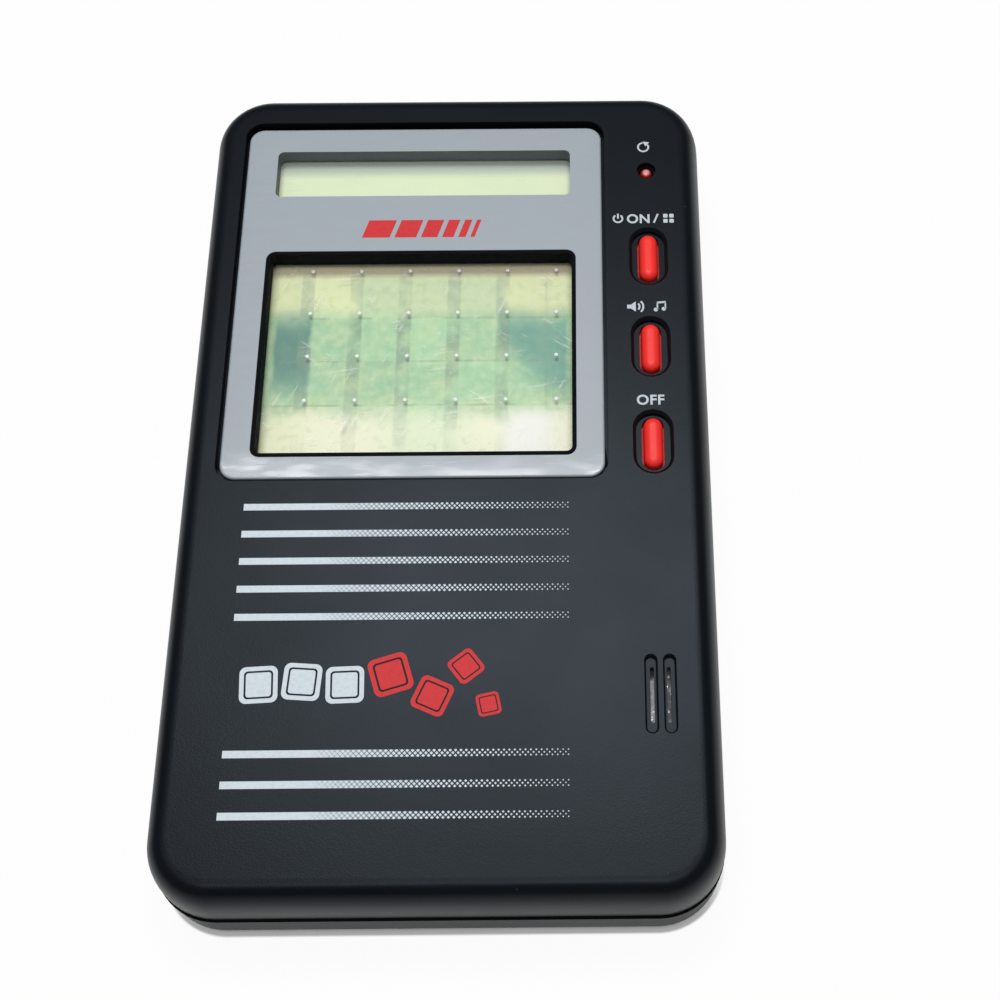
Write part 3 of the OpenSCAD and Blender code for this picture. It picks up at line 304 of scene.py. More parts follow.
def gloss_plastic(name, colour):
    """Glossy coloured plastic with a faint orange-peel surface."""
    f = new_finish(name)
    peel = f.noise(0.8*MM, 1)
    tone = f.mix(f.noise(3*MM, 2), [c*0.92 for c in colour], colour)
    return f.done(f.principled(Base_Color=tone, Roughness=0.36 + peel*0.1, Specular_ior_Level=0.3,
                               Normal=f.bump(peel, 0.006*MM)))


def painted_highlight_tip(name, colour, centre):
    """Glossy plastic round an upright axis: dark as painted shade away from the axis, pale as a painted
    highlight at its tip.
    """
    f = new_finish(name)
    off = [f.axis(a) - c for a, c in zip("XY", centre)]
    away = off[0].maths("SQRT", off[0]*off[0] + off[1]*off[1])
    # Painted highlight at the tip, with painted shade round it.
    tip = f.step(away + f.noise(0.5*MM, 1)*0.1*MM, 0.85*MM, 0.3*MM)
    tone = f.mix(tip, [c*0.3 for c in colour], [c*0.5 + 0.3 for c in colour])
    return f.done(f.principled(Base_Color=tone, Roughness=0.3, Specular_ior_Level=0.4))


def clear_sheet(name, scratched):
    """Clear plastic: light passes, more of it mirrors at a slant, and scratches and dust stay pale."""
    f = new_finish(name)
    haze = f.noise(6*MM, 2)
    marks = f.specks(3.2*MM, 0.03)*0.25
    for turn, length in ((1.1, 16), (0.15, 22), (-0.6, 12)):
        streak = f.step(f.noise(0.4*MM, 1, (length, 1, 1), turn), 0.66, 0.76)
        marks = marks + streak*f.step(f.noise(5*MM, 1), 0.5, 0.62)*0.3
    gloss = f.principled(Base_Color=(0.9, 0.92, 0.9), Roughness=0.2 + haze*0.12,
                         Normal=f.bump(f.noise(9*MM, 1), 0.1*MM))
    slant = f.add("ShaderNodeLayerWeight", {}, {"Blend": 0.5}, "Facing")
    share = slant.maths("POWER", slant, 5.0)*0.9 + marks*scratched + 0.03
    return f.done(f.blend(share, f.add("ShaderNodeBsdfTransparent"), gloss))


def droplets(name, colour):
    """Milky resin droplets that let a little light through."""
    f = new_finish(name)
    milk = f.noise(0.3*MM, 1)
    resin = f.principled(Base_Color=colour, Roughness=0.5 + milk*0.2)
    return f.done(f.blend(0.86 + milk*0.14, f.add("ShaderNodeBsdfTransparent"), resin))


def status_glass(name, colour):
    """Plain pale display with a faint cloudy unevenness, and painted shade of the window's far wall along its
    far edge.
    """
    f = new_finish(name)
    clouds = f.noise(14*MM, 2)
    window_end = bezel_high.y - 4.7*MM
    tone = f.mix(clouds, [c*0.95 for c in colour], [min(c*1.05, 1) for c in colour])
    # Painted shade: the far edge is darkened where the window's far wall would cast its shadow.
    painted_wall_shade = [c*share for c, share in zip(colour, (0.6, 0.61, 0.76))]
    tone = f.mix(f.step(f.axis("Y"), window_end - 3.6*MM, window_end - 1.2*MM), tone, painted_wall_shade)
    return f.done(f.principled(Base_Color=tone, Roughness=0.3, Specular_ior_Level=0.3))


def touch_glass(name, looks):
    """Touch display: cream end rows, green middle rows, teal sides, a tan top band, darker grid lines and a
    painted glare at the lower right.

    Across counts dot columns from the left and down counts dot rows from the top, so each square is one unit.
    """
    f = new_finish(name)
    moss, lime, grid = (0.56, 0.74, 0.44), (0.68, 0.92, 0.58), (0.16, 0.30, 0.20)
    straw, milk, glare_white = (0.74, 0.86, 0.42), (0.84, 0.94, 0.68), (1.0, 1.0, 0.94)
    pitch_x = (dots_high.x - dots_low.x - dot_size)/(dot_columns - 1)
    pitch_y = (dots_high.y - dots_low.y - dot_size)/(dot_rows - 1)
    across = (f.axis("X") - dots_low.x - dot_size/2)/pitch_x
    down = (dots_high.y - dot_size/2 - f.axis("Y"))/pitch_y
    wobble = (f.noise(6*MM, 3) - 0.5)*0.8
    square = f.add("ShaderNodeCombineXYZ", {}, {
        0: across.maths("FLOOR", across + 0.08), 1: down.maths("FLOOR", down - 0.05)})
    chance = f.add("ShaderNodeTexWhiteNoise", {}, {"Vector": square}, "Value")
    cream = f.mix(chance, [c*0.92 for c in looks.cream], looks.cream)
    green = f.mix(chance, [c*0.9 for c in looks.green], [c*1.12 for c in looks.green])
    middle_rows = f.step(down + wobble*0.3, 0.72, 1.18)*f.step(down + wobble*0.9, 3.55, 2.75)
    lowest = f.step(down, 2.9, 3.3)
    cream = f.mix(lowest*(0.6 + f.step(across, -0.5, 0.5)*0.4), cream, looks.pale)
    mossy = f.between(across + wobble, 1.6, 3.2, 0.4)
    cream = f.mix(lowest*mossy*0.4, cream, lime)
    upper_green = f.between(across, 0.95, 3.95, 0.1)*f.step(down, 1.2, 0.8)
    cream = f.mix(upper_green*(0.55 + chance*0.3), cream, moss)
    # Painted reflection: a near-white patch of lamp glare at the lower right.
    glare = f.between(across + wobble*0.6, 3.95, 4.95, 0.35)*f.between(down + wobble*0.4, 3.2, 4.2, 0.22)
    tone = f.mix(middle_rows, cream, green)
    side_rows = f.step(down + wobble*0.3, 0.62, 1.45)*f.step(down + wobble*0.5, 3.3, 2.6)
    left = f.between(across + wobble*0.2, -0.72, 0.02, 0.07)*(1 - f.step(down, 2.1, 3.0)*0.55)
    right = f.between(across + wobble*0.15, 3.84, 5.22, 0.07)
    right = right*f.step(down + wobble - (across - 4.5)*0.9, 2.9, 1.7)
    tone = f.mix(side_rows*left*0.96, tone, looks.teal)
    tone = f.mix(side_rows*right*0.8, tone, [c*1.4 + 0.02 for c in looks.teal])
    near_column = (across + 0.5) % 1.0
    band = f.between(near_column, 0.27, 0.54, 0.02)*f.between(across, -0.4, 4.8, 0.1)
    band = band*(0.36 + middle_rows*0.32 - lowest*0.2)*f.step(f.noise(5*MM, 1), 0.25, 0.6)
    near_row = (down + 0.5) % 1.0
    line = f.between(near_row, 0.535, 0.575, 0.015)*f.between(down, 0.5, 3.5, 0.1)
    line = line*f.step(f.noise(4*MM, 1), 0.38, 0.55)*0.5
    tone = f.mix(band.maths("MAXIMUM", band, line), tone, grid)
    plain = 1 - side_rows*left.maths("MAXIMUM", left, right)*0.85
    warm = f.step(f.noise(4.5*MM, 3), 0.36, 0.74)*middle_rows*plain
    tone = f.mix(warm*0.36, tone, straw)
    mottle = f.noise(1.5*MM, 5)
    tone = f.mix(f.step(mottle, 0.4, 0.82)*plain*0.32, tone, milk)
    tone = f.mix(f.step(mottle, 0.5, 0.28)*plain*0.2, tone, [c*0.72 for c in looks.green])
    tone = f.mix(glare*0.95, tone, glare_white)
    tone = f.mix(f.step(down + wobble*0.15, 0.22, -0.16)*0.85, tone, looks.tan)
    return f.done(f.principled(Base_Color=tone, Roughness=0.35, Specular_ior_Level=0.25))


def metal(name, colour, roughness=0.3):
    """Plain metal with fine drawn lines and a cloudy gleam."""
    f = new_finish(name)
    lines = f.noise(0.12*MM, 1, (1, 18, 1))
    clouds = f.noise(4*MM, 2)
    tone = f.mix(clouds, [c*0.82 for c in colour], colour)
    return f.done(f.principled(Base_Color=tone, Metallic=1.0, Roughness=roughness + lines*0.15,
                               Normal=f.bump(lines, 0.004*MM)))


def tarnished_metal(name, colour):
    """Dull sheet metal with dark blotches of tarnish and a few bright rubbed spots."""
    f = new_finish(name)
    blotch = f.step(f.noise(1.6*MM, 3), 0.38, 0.6)
    bright = f.step(f.noise(0.9*MM, 2), 0.58, 0.7)
    tone = f.mix(blotch, [c*0.3 for c in colour], colour)
    return f.done(f.principled(Base_Color=f.mix(bright, tone, (0.8, 0.8, 0.8)), Metallic=1.0,
                               Roughness=0.55 - bright*0.2))


def soft_rubber(name, colour):
    """Matte rubber, silicone, foam or carbon with a dry bloom."""
    f = new_finish(name)
    bloom = f.noise(1.5*MM, 3)
    tone = f.mix(bloom, [c*0.85 for c in colour], [min(c*1.15, 1) for c in colour])
    return f.done(f.principled(Base_Color=tone, Roughness=0.68 + bloom*0.15, Specular_ior_Level=0.08))


def lacquered_board(name, colour):
    """Green lacquer over copper tracks that run lengthwise."""
    f = new_finish(name)
    tracks = f.step(f.noise(0.9*MM, 0, (1, 9, 1)), 0.5, 0.54)
    tone = f.mix(tracks, [c*0.7 for c in colour], [c*1.3 for c in colour])
    return f.done(f.principled(Base_Color=tone, Roughness=0.35, Normal=f.bump(tracks, 0.03*MM)))


def printed_ink(name, colour):
    """Screen-printed ink: matte, slightly patchy and thin in places."""
    f = new_finish(name)
    patch = f.noise(0.6*MM, 3)
    tone = f.mix(f.step(patch, 0.3, 0.6), [c*0.92 for c in colour], colour)
    return f.done(f.principled(Base_Color=tone, Roughness=0.55, Specular_ior_Level=0.2))


def dress(finish, *names):
    """Gives a finish to CAD nodes."""
    for name in names:
        nodes[name].data.materials.clear()
        nodes[name].data.materials.append(finish)


def add_piece(name, points, faces, finishes, body, smooth=None):
    """New object at the origin, its place in its mesh, riding on a body."""
    mesh = bpy.data.meshes.new(name)
    mesh.from_pydata(np.asarray(points).tolist(), [], faces)
    for finish in finishes:
        mesh.materials.append(finish)
    if smooth is not None:
        mesh.polygons.foreach_set("use_smooth", np.ones(len(mesh.polygons), bool))
        mesh.set_sharp_from_angle(angle=smooth)
    mesh.validate()
    piece = bpy.data.objects.new(name, mesh)
    bpy.context.scene.collection.objects.link(piece)
    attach(piece, body)
    return piece


def smooth_shell(name, node, finishes, body):
    """The node's own surface with its face seams closed, so that its rolled edges shade as one curve."""
    mesh = nodes[node].data
    points = np.empty(len(mesh.vertices)*3)
    mesh.vertices.foreach_get("co", points)
    corners = np.empty(len(mesh.loops), int)
    mesh.loops.foreach_get("vertex_index", corners)
    merged, place = np.unique(np.round(points.reshape(-1, 3), 7), axis=0, return_inverse=True)
    faces = place.ravel()[corners].reshape(-1, 3)
    whole = (faces != np.roll(faces, 1, axis=1)).all(axis=1)
    crease = math.radians(20)
    piece = add_piece(name, merged, faces[whole].tolist(), finishes, body, crease)
    weights = piece.modifiers.new("even_faces", "WEIGHTED_NORMAL")
    weights.keep_sharp = True
    weights.weight = 100
    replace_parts(piece, node)
    return piece


def second_finish(piece, chosen):
    """Gives the second finish of a piece to the faces whose middles a test picks out."""
    faces = piece.data.polygons
    middles = np.empty(len(faces)*3)
    faces.foreach_get("center", middles)
    faces.foreach_set("material_index", chosen(*middles.reshape(-1, 3).T).astype(int))


def clear_plate(name, node, finish):
    """Plate in a node's own box, its underside lifted by a hair so that what lies under it stays in view."""
    low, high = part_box(node)
    lift = 0.02*MM
    outline = [(low.x, low.y), (high.x, low.y), (high.x, high.y), (low.x, high.y)]
    points, faces = slabs([outline], low.z + lift, high.z - low.z - lift)
    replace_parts(add_piece(name, points, faces, [finish], "case"), node)


def slabs(outlines, base, thickness):
    """Closed slabs: each outline, drawn anticlockwise, carried straight up from a height by a thickness."""
    outlines = np.asarray(outlines, float)
    count, sides = outlines.shape[:2]
    flat = outlines.reshape(-1, 2)
    total = len(flat)
    points = np.concatenate([
        np.column_stack([flat, np.full(total, base)]),
        np.column_stack([flat, np.full(total, base + thickness)])])
    ring = np.arange(total).reshape(count, sides)
    ahead = np.roll(ring, -1, axis=1)
    walls = np.stack([ring, ahead, ahead + total, ring + total], axis=-1).reshape(-1, 4)
    return points, ring[:, ::-1].tolist() + (ring + total).tolist() + walls.tolist()


def joined(parts):
    """Points and faces of several meshes as one."""
    points, faces, first = [], [], 0
    for part_points, part_faces in parts:
        points.append(part_points)
        faces += [[first + i for i in face] for face in part_faces]
        first += len(part_points)
    return np.concatenate(points), faces


def arc(centre, radius, start, end, count):
    """Points on a circle from one angle to another, in degrees."""
    angle = np.radians(np.linspace(start, end, count))
    return np.asarray(centre) + radius*np.column_stack([np.cos(angle), np.sin(angle)])


def ribbon(path, width):
    """Outline of a band of even width along a path: the path moved half the width to either side."""
    run = np.gradient(path, axis=0)
    side = np.column_stack([-run[:, 1], run[:, 0]])
    side *= width/2/np.linalg.norm(side, axis=1, keepdims=True)
    return np.concatenate([path - side, (path + side)[::-1]])


def rounded_square(centre, size, turn, radius):
    """Outline of a square with round corners, turned by an angle in degrees."""
    half = size/2 - radius
    corners = [arc((half*sx, half*sy), radius, start, start + 90, 7)
               for sx, sy, start in ((1, 1, 0), (-1, 1, 90), (-1, -1, 180), (1, -1, 270))]
    c, s = math.cos(math.radians(turn)), math.sin(math.radians(turn))
    return np.asarray(centre) + np.concatenate(corners) @ np.array([[c, s], [-s, c]])


def lettering(text, height, centre, base):
    """Bold capitals as closed slabs, centred on a place."""
    curve = bpy.data.curves.new("lettering", "FONT")
    curve.body = text
    curve.align_x = "CENTER"
    capital_share, weight = 0.73, 0.035
    curve.size = height/capital_share
    curve.offset = height*weight
    curve.space_character = 1.08
    curve.extrude = INK/2
    holder = bpy.data.objects.new("lettering", curve)
    bpy.context.scene.collection.objects.link(holder)
    mesh = bpy.data.meshes.new_from_object(holder.evaluated_get(bpy.context.evaluated_depsgraph_get()))
    bpy.data.objects.remove(holder)
    points = np.array([v.co for v in mesh.vertices])
    points += (centre[0], centre[1] - height/2, base + INK/2)
    faces = [list(p.vertices) for p in mesh.polygons]
    bpy.data.meshes.remove(mesh)
    return points, faces


def turned(profile, start):
    """Solid turned about +X from a profile of (distance, radius) pairs that starts and ends on the axis."""
    profile = np.asarray(profile, float)
    count = TURN_STEPS
    angle = np.arange(count)*2*math.pi/count
    rings = profile[1:-1]
    ring_points = np.stack([
        np.repeat(rings[:, :1], count, 1),
        rings[:, 1:]*np.cos(angle),
        rings[:, 1:]*np.sin(angle)], axis=-1).reshape(-1, 3)
    ends = np.array([[profile[0, 0], 0, 0], [profile[-1, 0], 0, 0]])
    points = np.concatenate([ring_points, ends]) + start
    index = np.arange(len(rings)*count).reshape(len(rings), count)
    ahead = np.roll(index, -1, axis=1)
    walls = np.stack([index[:-1], index[1:], ahead[1:], ahead[:-1]], axis=-1).reshape(-1, 4)
    first, last = len(ring_points), len(ring_points) + 1
    near = [[first, a, b] for a, b in zip(index[0], ahead[0])]
    far = [[last, b, a] for a, b in zip(index[-1], ahead[-1])]
    return points, near + walls.tolist() + far


class GamePiece:
    """Shared by the operators below, which all build from the scene's own settings."""

    bl_options = {"REGISTER", "UNDO"}


class WORDGAME_OT_shells(GamePiece, bpy.types.Operator):
    """Finish the front case, the rear case and the battery door, with painted shade in the seam and round the
    touch window
    """

    bl_idname = "wordgame.shells"
    bl_label = "Case"

    def execute(self, context):
        looks = context.scene.wordgame_shell
        front = moulded_plastic("front_plastic", looks.front, 0.35, looks.grain)
        rear = moulded_plastic("rear_plastic", looks.rear, 0.52, looks.grain*1.4)
        # Painted shade: a darker matte finish for the faces in the seam and round the touch window's collar.
        dark = soft_rubber("painted_shade_plastic", [c*0.8 for c in looks.front])
        window_low, window_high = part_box("touch_film")
        hair, tongue, gap = 0.02*MM, 0.6*MM, 0.4*MM
        seam_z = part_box("front_case")[0].z + tongue
        shell = smooth_shell("front_shell", "front_case", [front, dark], "case")
        second_finish(shell, lambda x, y, z: (z < seam_z + hair) | (
            (x > window_low.x) & (x < window_high.x) & (y > window_low.y) & (y < window_high.y)))
        shell = smooth_shell("rear_shell", "rear_case", [rear, dark], "case")
        # Painted shade on the rear rim's top face in the seam.
        second_finish(shell, lambda x, y, z: abs(z - seam_z + gap) < hair)
        dress(rear, "battery_door")
        return {"FINISHED"}


class WORDGAME_OT_bezel(GamePiece, bpy.types.Operator):
    """Finish the bezel, with painted shade on its walls, and print its slanted bars"""

    bl_idname = "wordgame.bezel"
    bl_label = "Bezel"

    def execute(self, context):
        silver = context.scene.wordgame_shell.bezel
        # Painted shade: the bezel's walls and underside take a darker copy of the silver.
        wall_shade_share, wall_depth = 0.4, 0.4*MM
        paints = [silver_paint("bezel_paint", silver),
                  printed_ink("bezel_wall_painted_shade", [c*wall_shade_share for c in silver])]
        plate = smooth_shell("bezel_plate", "bezel", paints, "case")
        second_finish(plate, lambda x, y, z: z < bezel_z - wall_depth)
        ink = printed_ink("bezel_ink", context.scene.wordgame_print.red)
        centre = np.array([(bezel_low.x + bezel_high.x)/2, bezel_low.y + 45.8*MM])
        height, slant, gap = 3.4*MM, 1.1*MM, 0.8*MM
        widths = np.array([4.6, 3.6, 2.7, 1.9, 1.2, 0.7])*MM
        left = np.concatenate([[0], np.cumsum(widths + gap)[:-1]])
        left -= (left[-1] + widths[-1] + slant)/2
        low = -height/2
        outlines = [[(x, low), (x + w, low), (x + w + slant, low + height), (x + slant, low + height)]
                    for x, w in zip(left, widths)]
        points, faces = slabs(np.array(outlines) + centre, bezel_z, INK)
        add_piece("bezel_bars", points, faces, [ink], "case")
        return {"FINISHED"}


class WORDGAME_OT_screens(GamePiece, bpy.types.Operator):
    """Finish the two displays and the layers of the touch screen"""

    bl_idname = "wordgame.screens"
    bl_label = "Screens"

    def execute(self, context):
        looks = context.scene.wordgame_screen
        dress(status_glass("status_glass", looks.status), "status_lcd")
        dress(touch_glass("touch_glass", looks), "game_lcd")
        clean = clear_sheet("clean_sheet", 0.15)
        clear_plate("film_plate", "touch_film", clear_sheet("scratched_film", 1.0))
        clear_plate("base_plate", "touch_base", clean)
        clear_plate("pane_plate", "status_pane", clean)
        dress(soft_rubber("gasket_foam", (0.006, 0.006, 0.007)), "touch_gasket")
        dress(soft_rubber("spacer_adhesive", (0.6, 0.6, 0.56)), "touch_spacer")
        dress(droplets("dot_resin", (0.93, 0.95, 0.92)), "touch_dots")
        dress(gloss_plastic("tail_plastic", (0.55, 0.3, 0.08)), "touch_tail")
        dress(metal("reflector_foil", (0.82, 0.82, 0.8), 0.4), "game_reflector", "status_reflector")
        dress(soft_rubber("strip_rubber", (0.1, 0.1, 0.1)), "game_strip", "status_strip")
        # Frame grey, darkened as painted shade of the wall seen through the status window.
        dress(moulded_plastic("frame_plastic_painted_shade", (0.4, 0.44, 0.46), 0.5, 0.2*MM), "lcd_frame", "touch_socket")
        return {"FINISHED"}


class WORDGAME_OT_buttons(GamePiece, bpy.types.Operator):
    """Finish the buttons, their domes and their contacts"""

    bl_idname = "wordgame.buttons"
    bl_label = "Buttons"

    def execute(self, context):
        red = context.scene.wordgame_shell.button
        dress(gloss_plastic("button_plastic", red), *[b + "_button" for b in BUTTONS[:3]])
        dress(painted_highlight_tip("reset_plastic", red, middle("reset_button")), "reset_button")
        dress(soft_rubber("dome_silicone", (0.72, 0.72, 0.68)), *[b + "_dome" for b in BUTTONS])
        carbon = soft_rubber("contact_carbon", (0.02, 0.02, 0.02))
        dress(carbon, *[b + "_contact" for b in BUTTONS], "key_pads")
        return {"FINISHED"}


class WORDGAME_OT_sounder(GamePiece, bpy.types.Operator):
    """Finish the sounder"""

    bl_idname = "wordgame.sounder"
    bl_label = "Sounder"

    def execute(self, context):
        dress(tarnished_metal("sounder_nickel", (0.34, 0.34, 0.35)), "sounder_disc")
        dress(soft_rubber("sounder_ceramic", (0.8, 0.79, 0.74)), "sounder_ceramic")
        return {"FINISHED"}


class WORDGAME_OT_electronics(GamePiece, bpy.types.Operator):
    """Finish the board, what is soldered to it, the leads and the screws"""

    bl_idname = "wordgame.electronics"
    bl_label = "Electronics"

    def execute(self, context):
        dress(lacquered_board("board_lacquer", (0.03, 0.2, 0.08)), "main_board")
        dress(gloss_plastic("blob_epoxy", (0.012, 0.012, 0.013)), "controller_blob")
        dress(soft_rubber("chip_ceramic", (0.03, 0.03, 0.03)), "board_resistors")
        dress(metal("can_tin", (0.72, 0.72, 0.72)), "crystal", "board_capacitors")
        dress(metal("screw_steel", (0.58, 0.58, 0.6)), "board_screws", "case_screws")
        dress(soft_rubber("black_insulation", (0.02, 0.02, 0.02)), "sounder_leads", "negative_lead")
        dress(soft_rubber("red_insulation", (0.5, 0.02, 0.02)), "positive_lead")
        return {"FINISHED"}


class WORDGAME_OT_cells(GamePiece, bpy.types.Operator):
    """Build the two cells and finish the battery contacts"""

    bl_idname = "wordgame.cells"
    bl_label = "Cells"

    def execute(self, context):
        contacts = ("battery_spring", "battery_plate", "battery_bridge")
        dress(metal("contact_steel", (0.66, 0.66, 0.66)), *contacts)
        tin = metal("cell_tin", (0.75, 0.75, 0.74), 0.25)
        wrap = gloss_plastic("cell_wrap", (0.035, 0.06, 0.12))
        ring = gloss_plastic("cell_ring", (0.62, 0.64, 0.66))
        for node, nub_right in (("battery_1", True), ("battery_2", False)):
            self.build_cell(node, nub_right, [tin, wrap, ring])
        return {"FINISHED"}

    def build_cell(self, node, nub_right, finishes):
        """Cell turned from its own profile: flat end, shrunk wrap, shoulder and nub."""
        low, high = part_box(node)
        length, radius = high.x - low.x, (high.z - low.z)/2
        nub_h, nub_r, lip = 0.9*MM, 1.9*MM, 0.35*MM
        shoulder = length - nub_h
        bend = [(shoulder - 0.6*MM*(1 - math.sin(a)), radius - 0.6*MM*(1 - math.cos(a)))
                for a in np.radians([0, 30, 60, 90])]
        profile = [
            (0, 0), (0, radius*0.55), (0.1*MM, radius*0.6), (0.1*MM, radius - 3*lip), (0, radius - 2*lip),
            (0, radius - lip), (lip*0.3, radius - lip*0.3), (lip, radius), (6*MM, radius), (7.5*MM, radius),
            *bend, (shoulder - 0.12*MM, nub_r*1.45), (shoulder - 0.12*MM, nub_r),
            (length - 0.25*MM, nub_r), (length - 0.07*MM, nub_r - 0.07*MM),
            (length, nub_r - 0.25*MM), (length, 0)]
        points, faces = turned(profile, (0, 0, 0))
        if not nub_right:
            points = points*(-1, -1, 1) + (length, 0, 0)
        points = points + (low.x, (low.y + high.y)/2, (low.z + high.z)/2)
        cell = add_piece(node + "_cell", points, faces, finishes, "case", math.radians(35))
        band = np.zeros(len(cell.data.polygons), int)
        ring_of = np.arange(len(band))//TURN_STEPS - 1
        band[(ring_of >= 4) & (ring_of <= 11)] = 1
        band[ring_of == 7] = 2
        cell.data.polygons.foreach_set("material_index", band)
        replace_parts(cell, node)


class WORDGAME_OT_stripes(GamePiece, bpy.types.Operator):
    """Print the stripes, which fade to the right into a screen of dots"""

    bl_idname = "wordgame.stripes"
    bl_label = "Stripes"

    def execute(self, context):
        looks = context.scene.wordgame_print
        left_inset, right_inset, solid = 4.6*MM, 5.2*MM, 13*MM
        upper_drop, lower_drop = 5.2*MM, 44.0*MM
        start, end = bezel_low.x + left_inset, bezel_high.x - right_inset
        solid_end = start + solid
        rows = np.concatenate([
            bezel_low.y - drop - looks.stripe_pitch*np.arange(count)
            for drop, count in ((upper_drop, looks.upper_stripes), (lower_drop, looks.lower_stripes))])
        half = looks.stripe_width/2
        bars = np.array([[(start, -half), (solid_end, -half), (solid_end, half), (start, half)]]*len(rows))
        bars[..., 1] += rows[:, None]
        shapes = [np.concatenate([shape + (0, row) for row in rows])
                  for shape in self.screen_dots(solid_end, end, half, looks.screen_pitch/2)]
        ink = printed_ink("stripe_ink", looks.white)
        dot_ink = INK*1.1
        dots = [slabs(shape, face_z, dot_ink) for shape in shapes]
        points, faces = joined([slabs(bars, face_z, INK)] + dots)
        add_piece("stripe_print", points, faces, [ink], "case")
        return {"FINISHED"}

    def screen_dots(self, start, end, half, cell):
        """Diamonds on a slanted lattice that shrink to the right, cut off at the stripe's two edges.

        A diamond reaches r from its middle. The edge at distance h from a middle cuts it at half width r - h.
        """
        column, level = np.meshgrid(np.arange(int((end - start)/cell)), (0, 1, 2))
        kept = (column + level) % 2 == 0
        x, y = start + column[kept]*cell, level[kept]*cell
        r = cell*np.interp(x, [start, end], [0.985, 0.3])
        h = half - y
        cut = np.maximum(r - np.abs(h), 2e-6)
        whole = y == 0
        partly = (level[kept] == 1)
        tips = (level[kept] == 2) & (r > -h + 5e-5)
        diamond = np.array([(-1, 0), (0, -1), (1, 0), (0, 1)])
        diamonds = diamond*r[whole, None, None] + self.at(x[whole], y[whole])
        top = np.minimum(h, r)[partly]
        fives = np.stack([
            self.pair(-r[partly], 0), self.pair(0, -r[partly]), self.pair(r[partly], 0),
            self.pair(cut[partly], top), self.pair(-cut[partly], top)],
            axis=1) + self.at(x[partly], y[partly])
        threes = np.stack([
            self.pair(0, -r[tips]), self.pair(cut[tips], h[tips]), self.pair(-cut[tips], h[tips])],
            axis=1) + self.at(x[tips], y[tips])
        mirrored = [shape[:, ::-1]*(1, -1) for shape in (fives, threes)]
        return [diamonds, fives, threes, *mirrored]

    def at(self, x, y):
        return np.stack([x, y], axis=-1)[:, None]

    def pair(self, x, y):
        return np.stack(np.broadcast_arrays(x, y), axis=-1)


class WORDGAME_OT_labels(GamePiece, bpy.types.Operator):
    """Print the labels above the buttons"""

    bl_idname = "wordgame.labels"
    bl_label = "Labels"

    def execute(self, context):
        looks = context.scene.wordgame_print
        tall = looks.label_height
        stroke = tall*0.17
        above = 7.35*MM
        on, sound, off, reset = [middle(b + "_button") for b in BUTTONS]
        parts = [
            lettering("ON", tall, on + (-1.5*MM, above), face_z),
            lettering("OFF", tall, off + (-0.3*MM, above), face_z)]
        power = on + (-4.9*MM, above)
        parts += self.inked(ribbon(arc(power, tall*0.42, 125, 415, 32), stroke),
                            ribbon(power + np.array([(0, 0), (0, tall*0.56)]), stroke),
                            ribbon(on + (1.4*MM, above) + tall*np.array([(-0.2, -0.5), (0.2, 0.5)]), stroke))
        menu = on + (3.5*MM, above)
        parts += self.inked(*[rounded_square(menu + tall*np.array(c), tall*0.42, 0, tall*0.08)
                              for c in ((-0.29, -0.29), (0.29, -0.29), (0.29, 0.29), (-0.29, 0.29))])
        speaker = sound + (-2.8*MM, above)
        box = tall*np.array([
            (-0.5, -0.2), (-0.15, -0.2), (0.3, -0.55), (0.3, 0.55), (-0.15, 0.2), (-0.5, 0.2)])
        parts += self.inked(speaker + box, *[
            ribbon(arc(speaker + (tall*0.2, 0), tall*r, -45, 45, 12), stroke) for r in (0.45, 0.8)])
        note = sound + (1.7*MM, above)
        heads = [note + tall*np.array([(-0.42, -0.34)]), note + tall*np.array([(0.32, -0.26)])]
        stems = [ribbon(head + tall*np.array([(0.15, 0), (0.15, 0.72)]), stroke*0.8) for head in heads]
        beam = note + tall*np.array([(-0.31, 0.3), (0.51, 0.38), (0.51, 0.58), (-0.31, 0.5)])
        parts += self.inked(*[arc(head[0], tall*0.2, 0, 345, 24) for head in heads], *stems, beam)
        loop = reset + (-0.4*MM, 4.8*MM)
        tip = arc(loop, tall*0.5, 60, 60, 1)[0]
        head = tip + tall*np.array([(-0.3, 0.22), (-0.02, -0.34), (0.34, 0.14)])
        parts += self.inked(ribbon(arc(loop, tall*0.5, 95, 395, 32), stroke), head)
        points, faces = joined(parts)
        ink = printed_ink("label_ink", [c*0.85 for c in looks.white])
        add_piece("label_print", points, faces, [ink], "case")
        return {"FINISHED"}

    def inked(self, *outlines):
        """Each outline as a slab of ink on the face."""
        return [slabs([outline], face_z, INK) for outline in outlines]


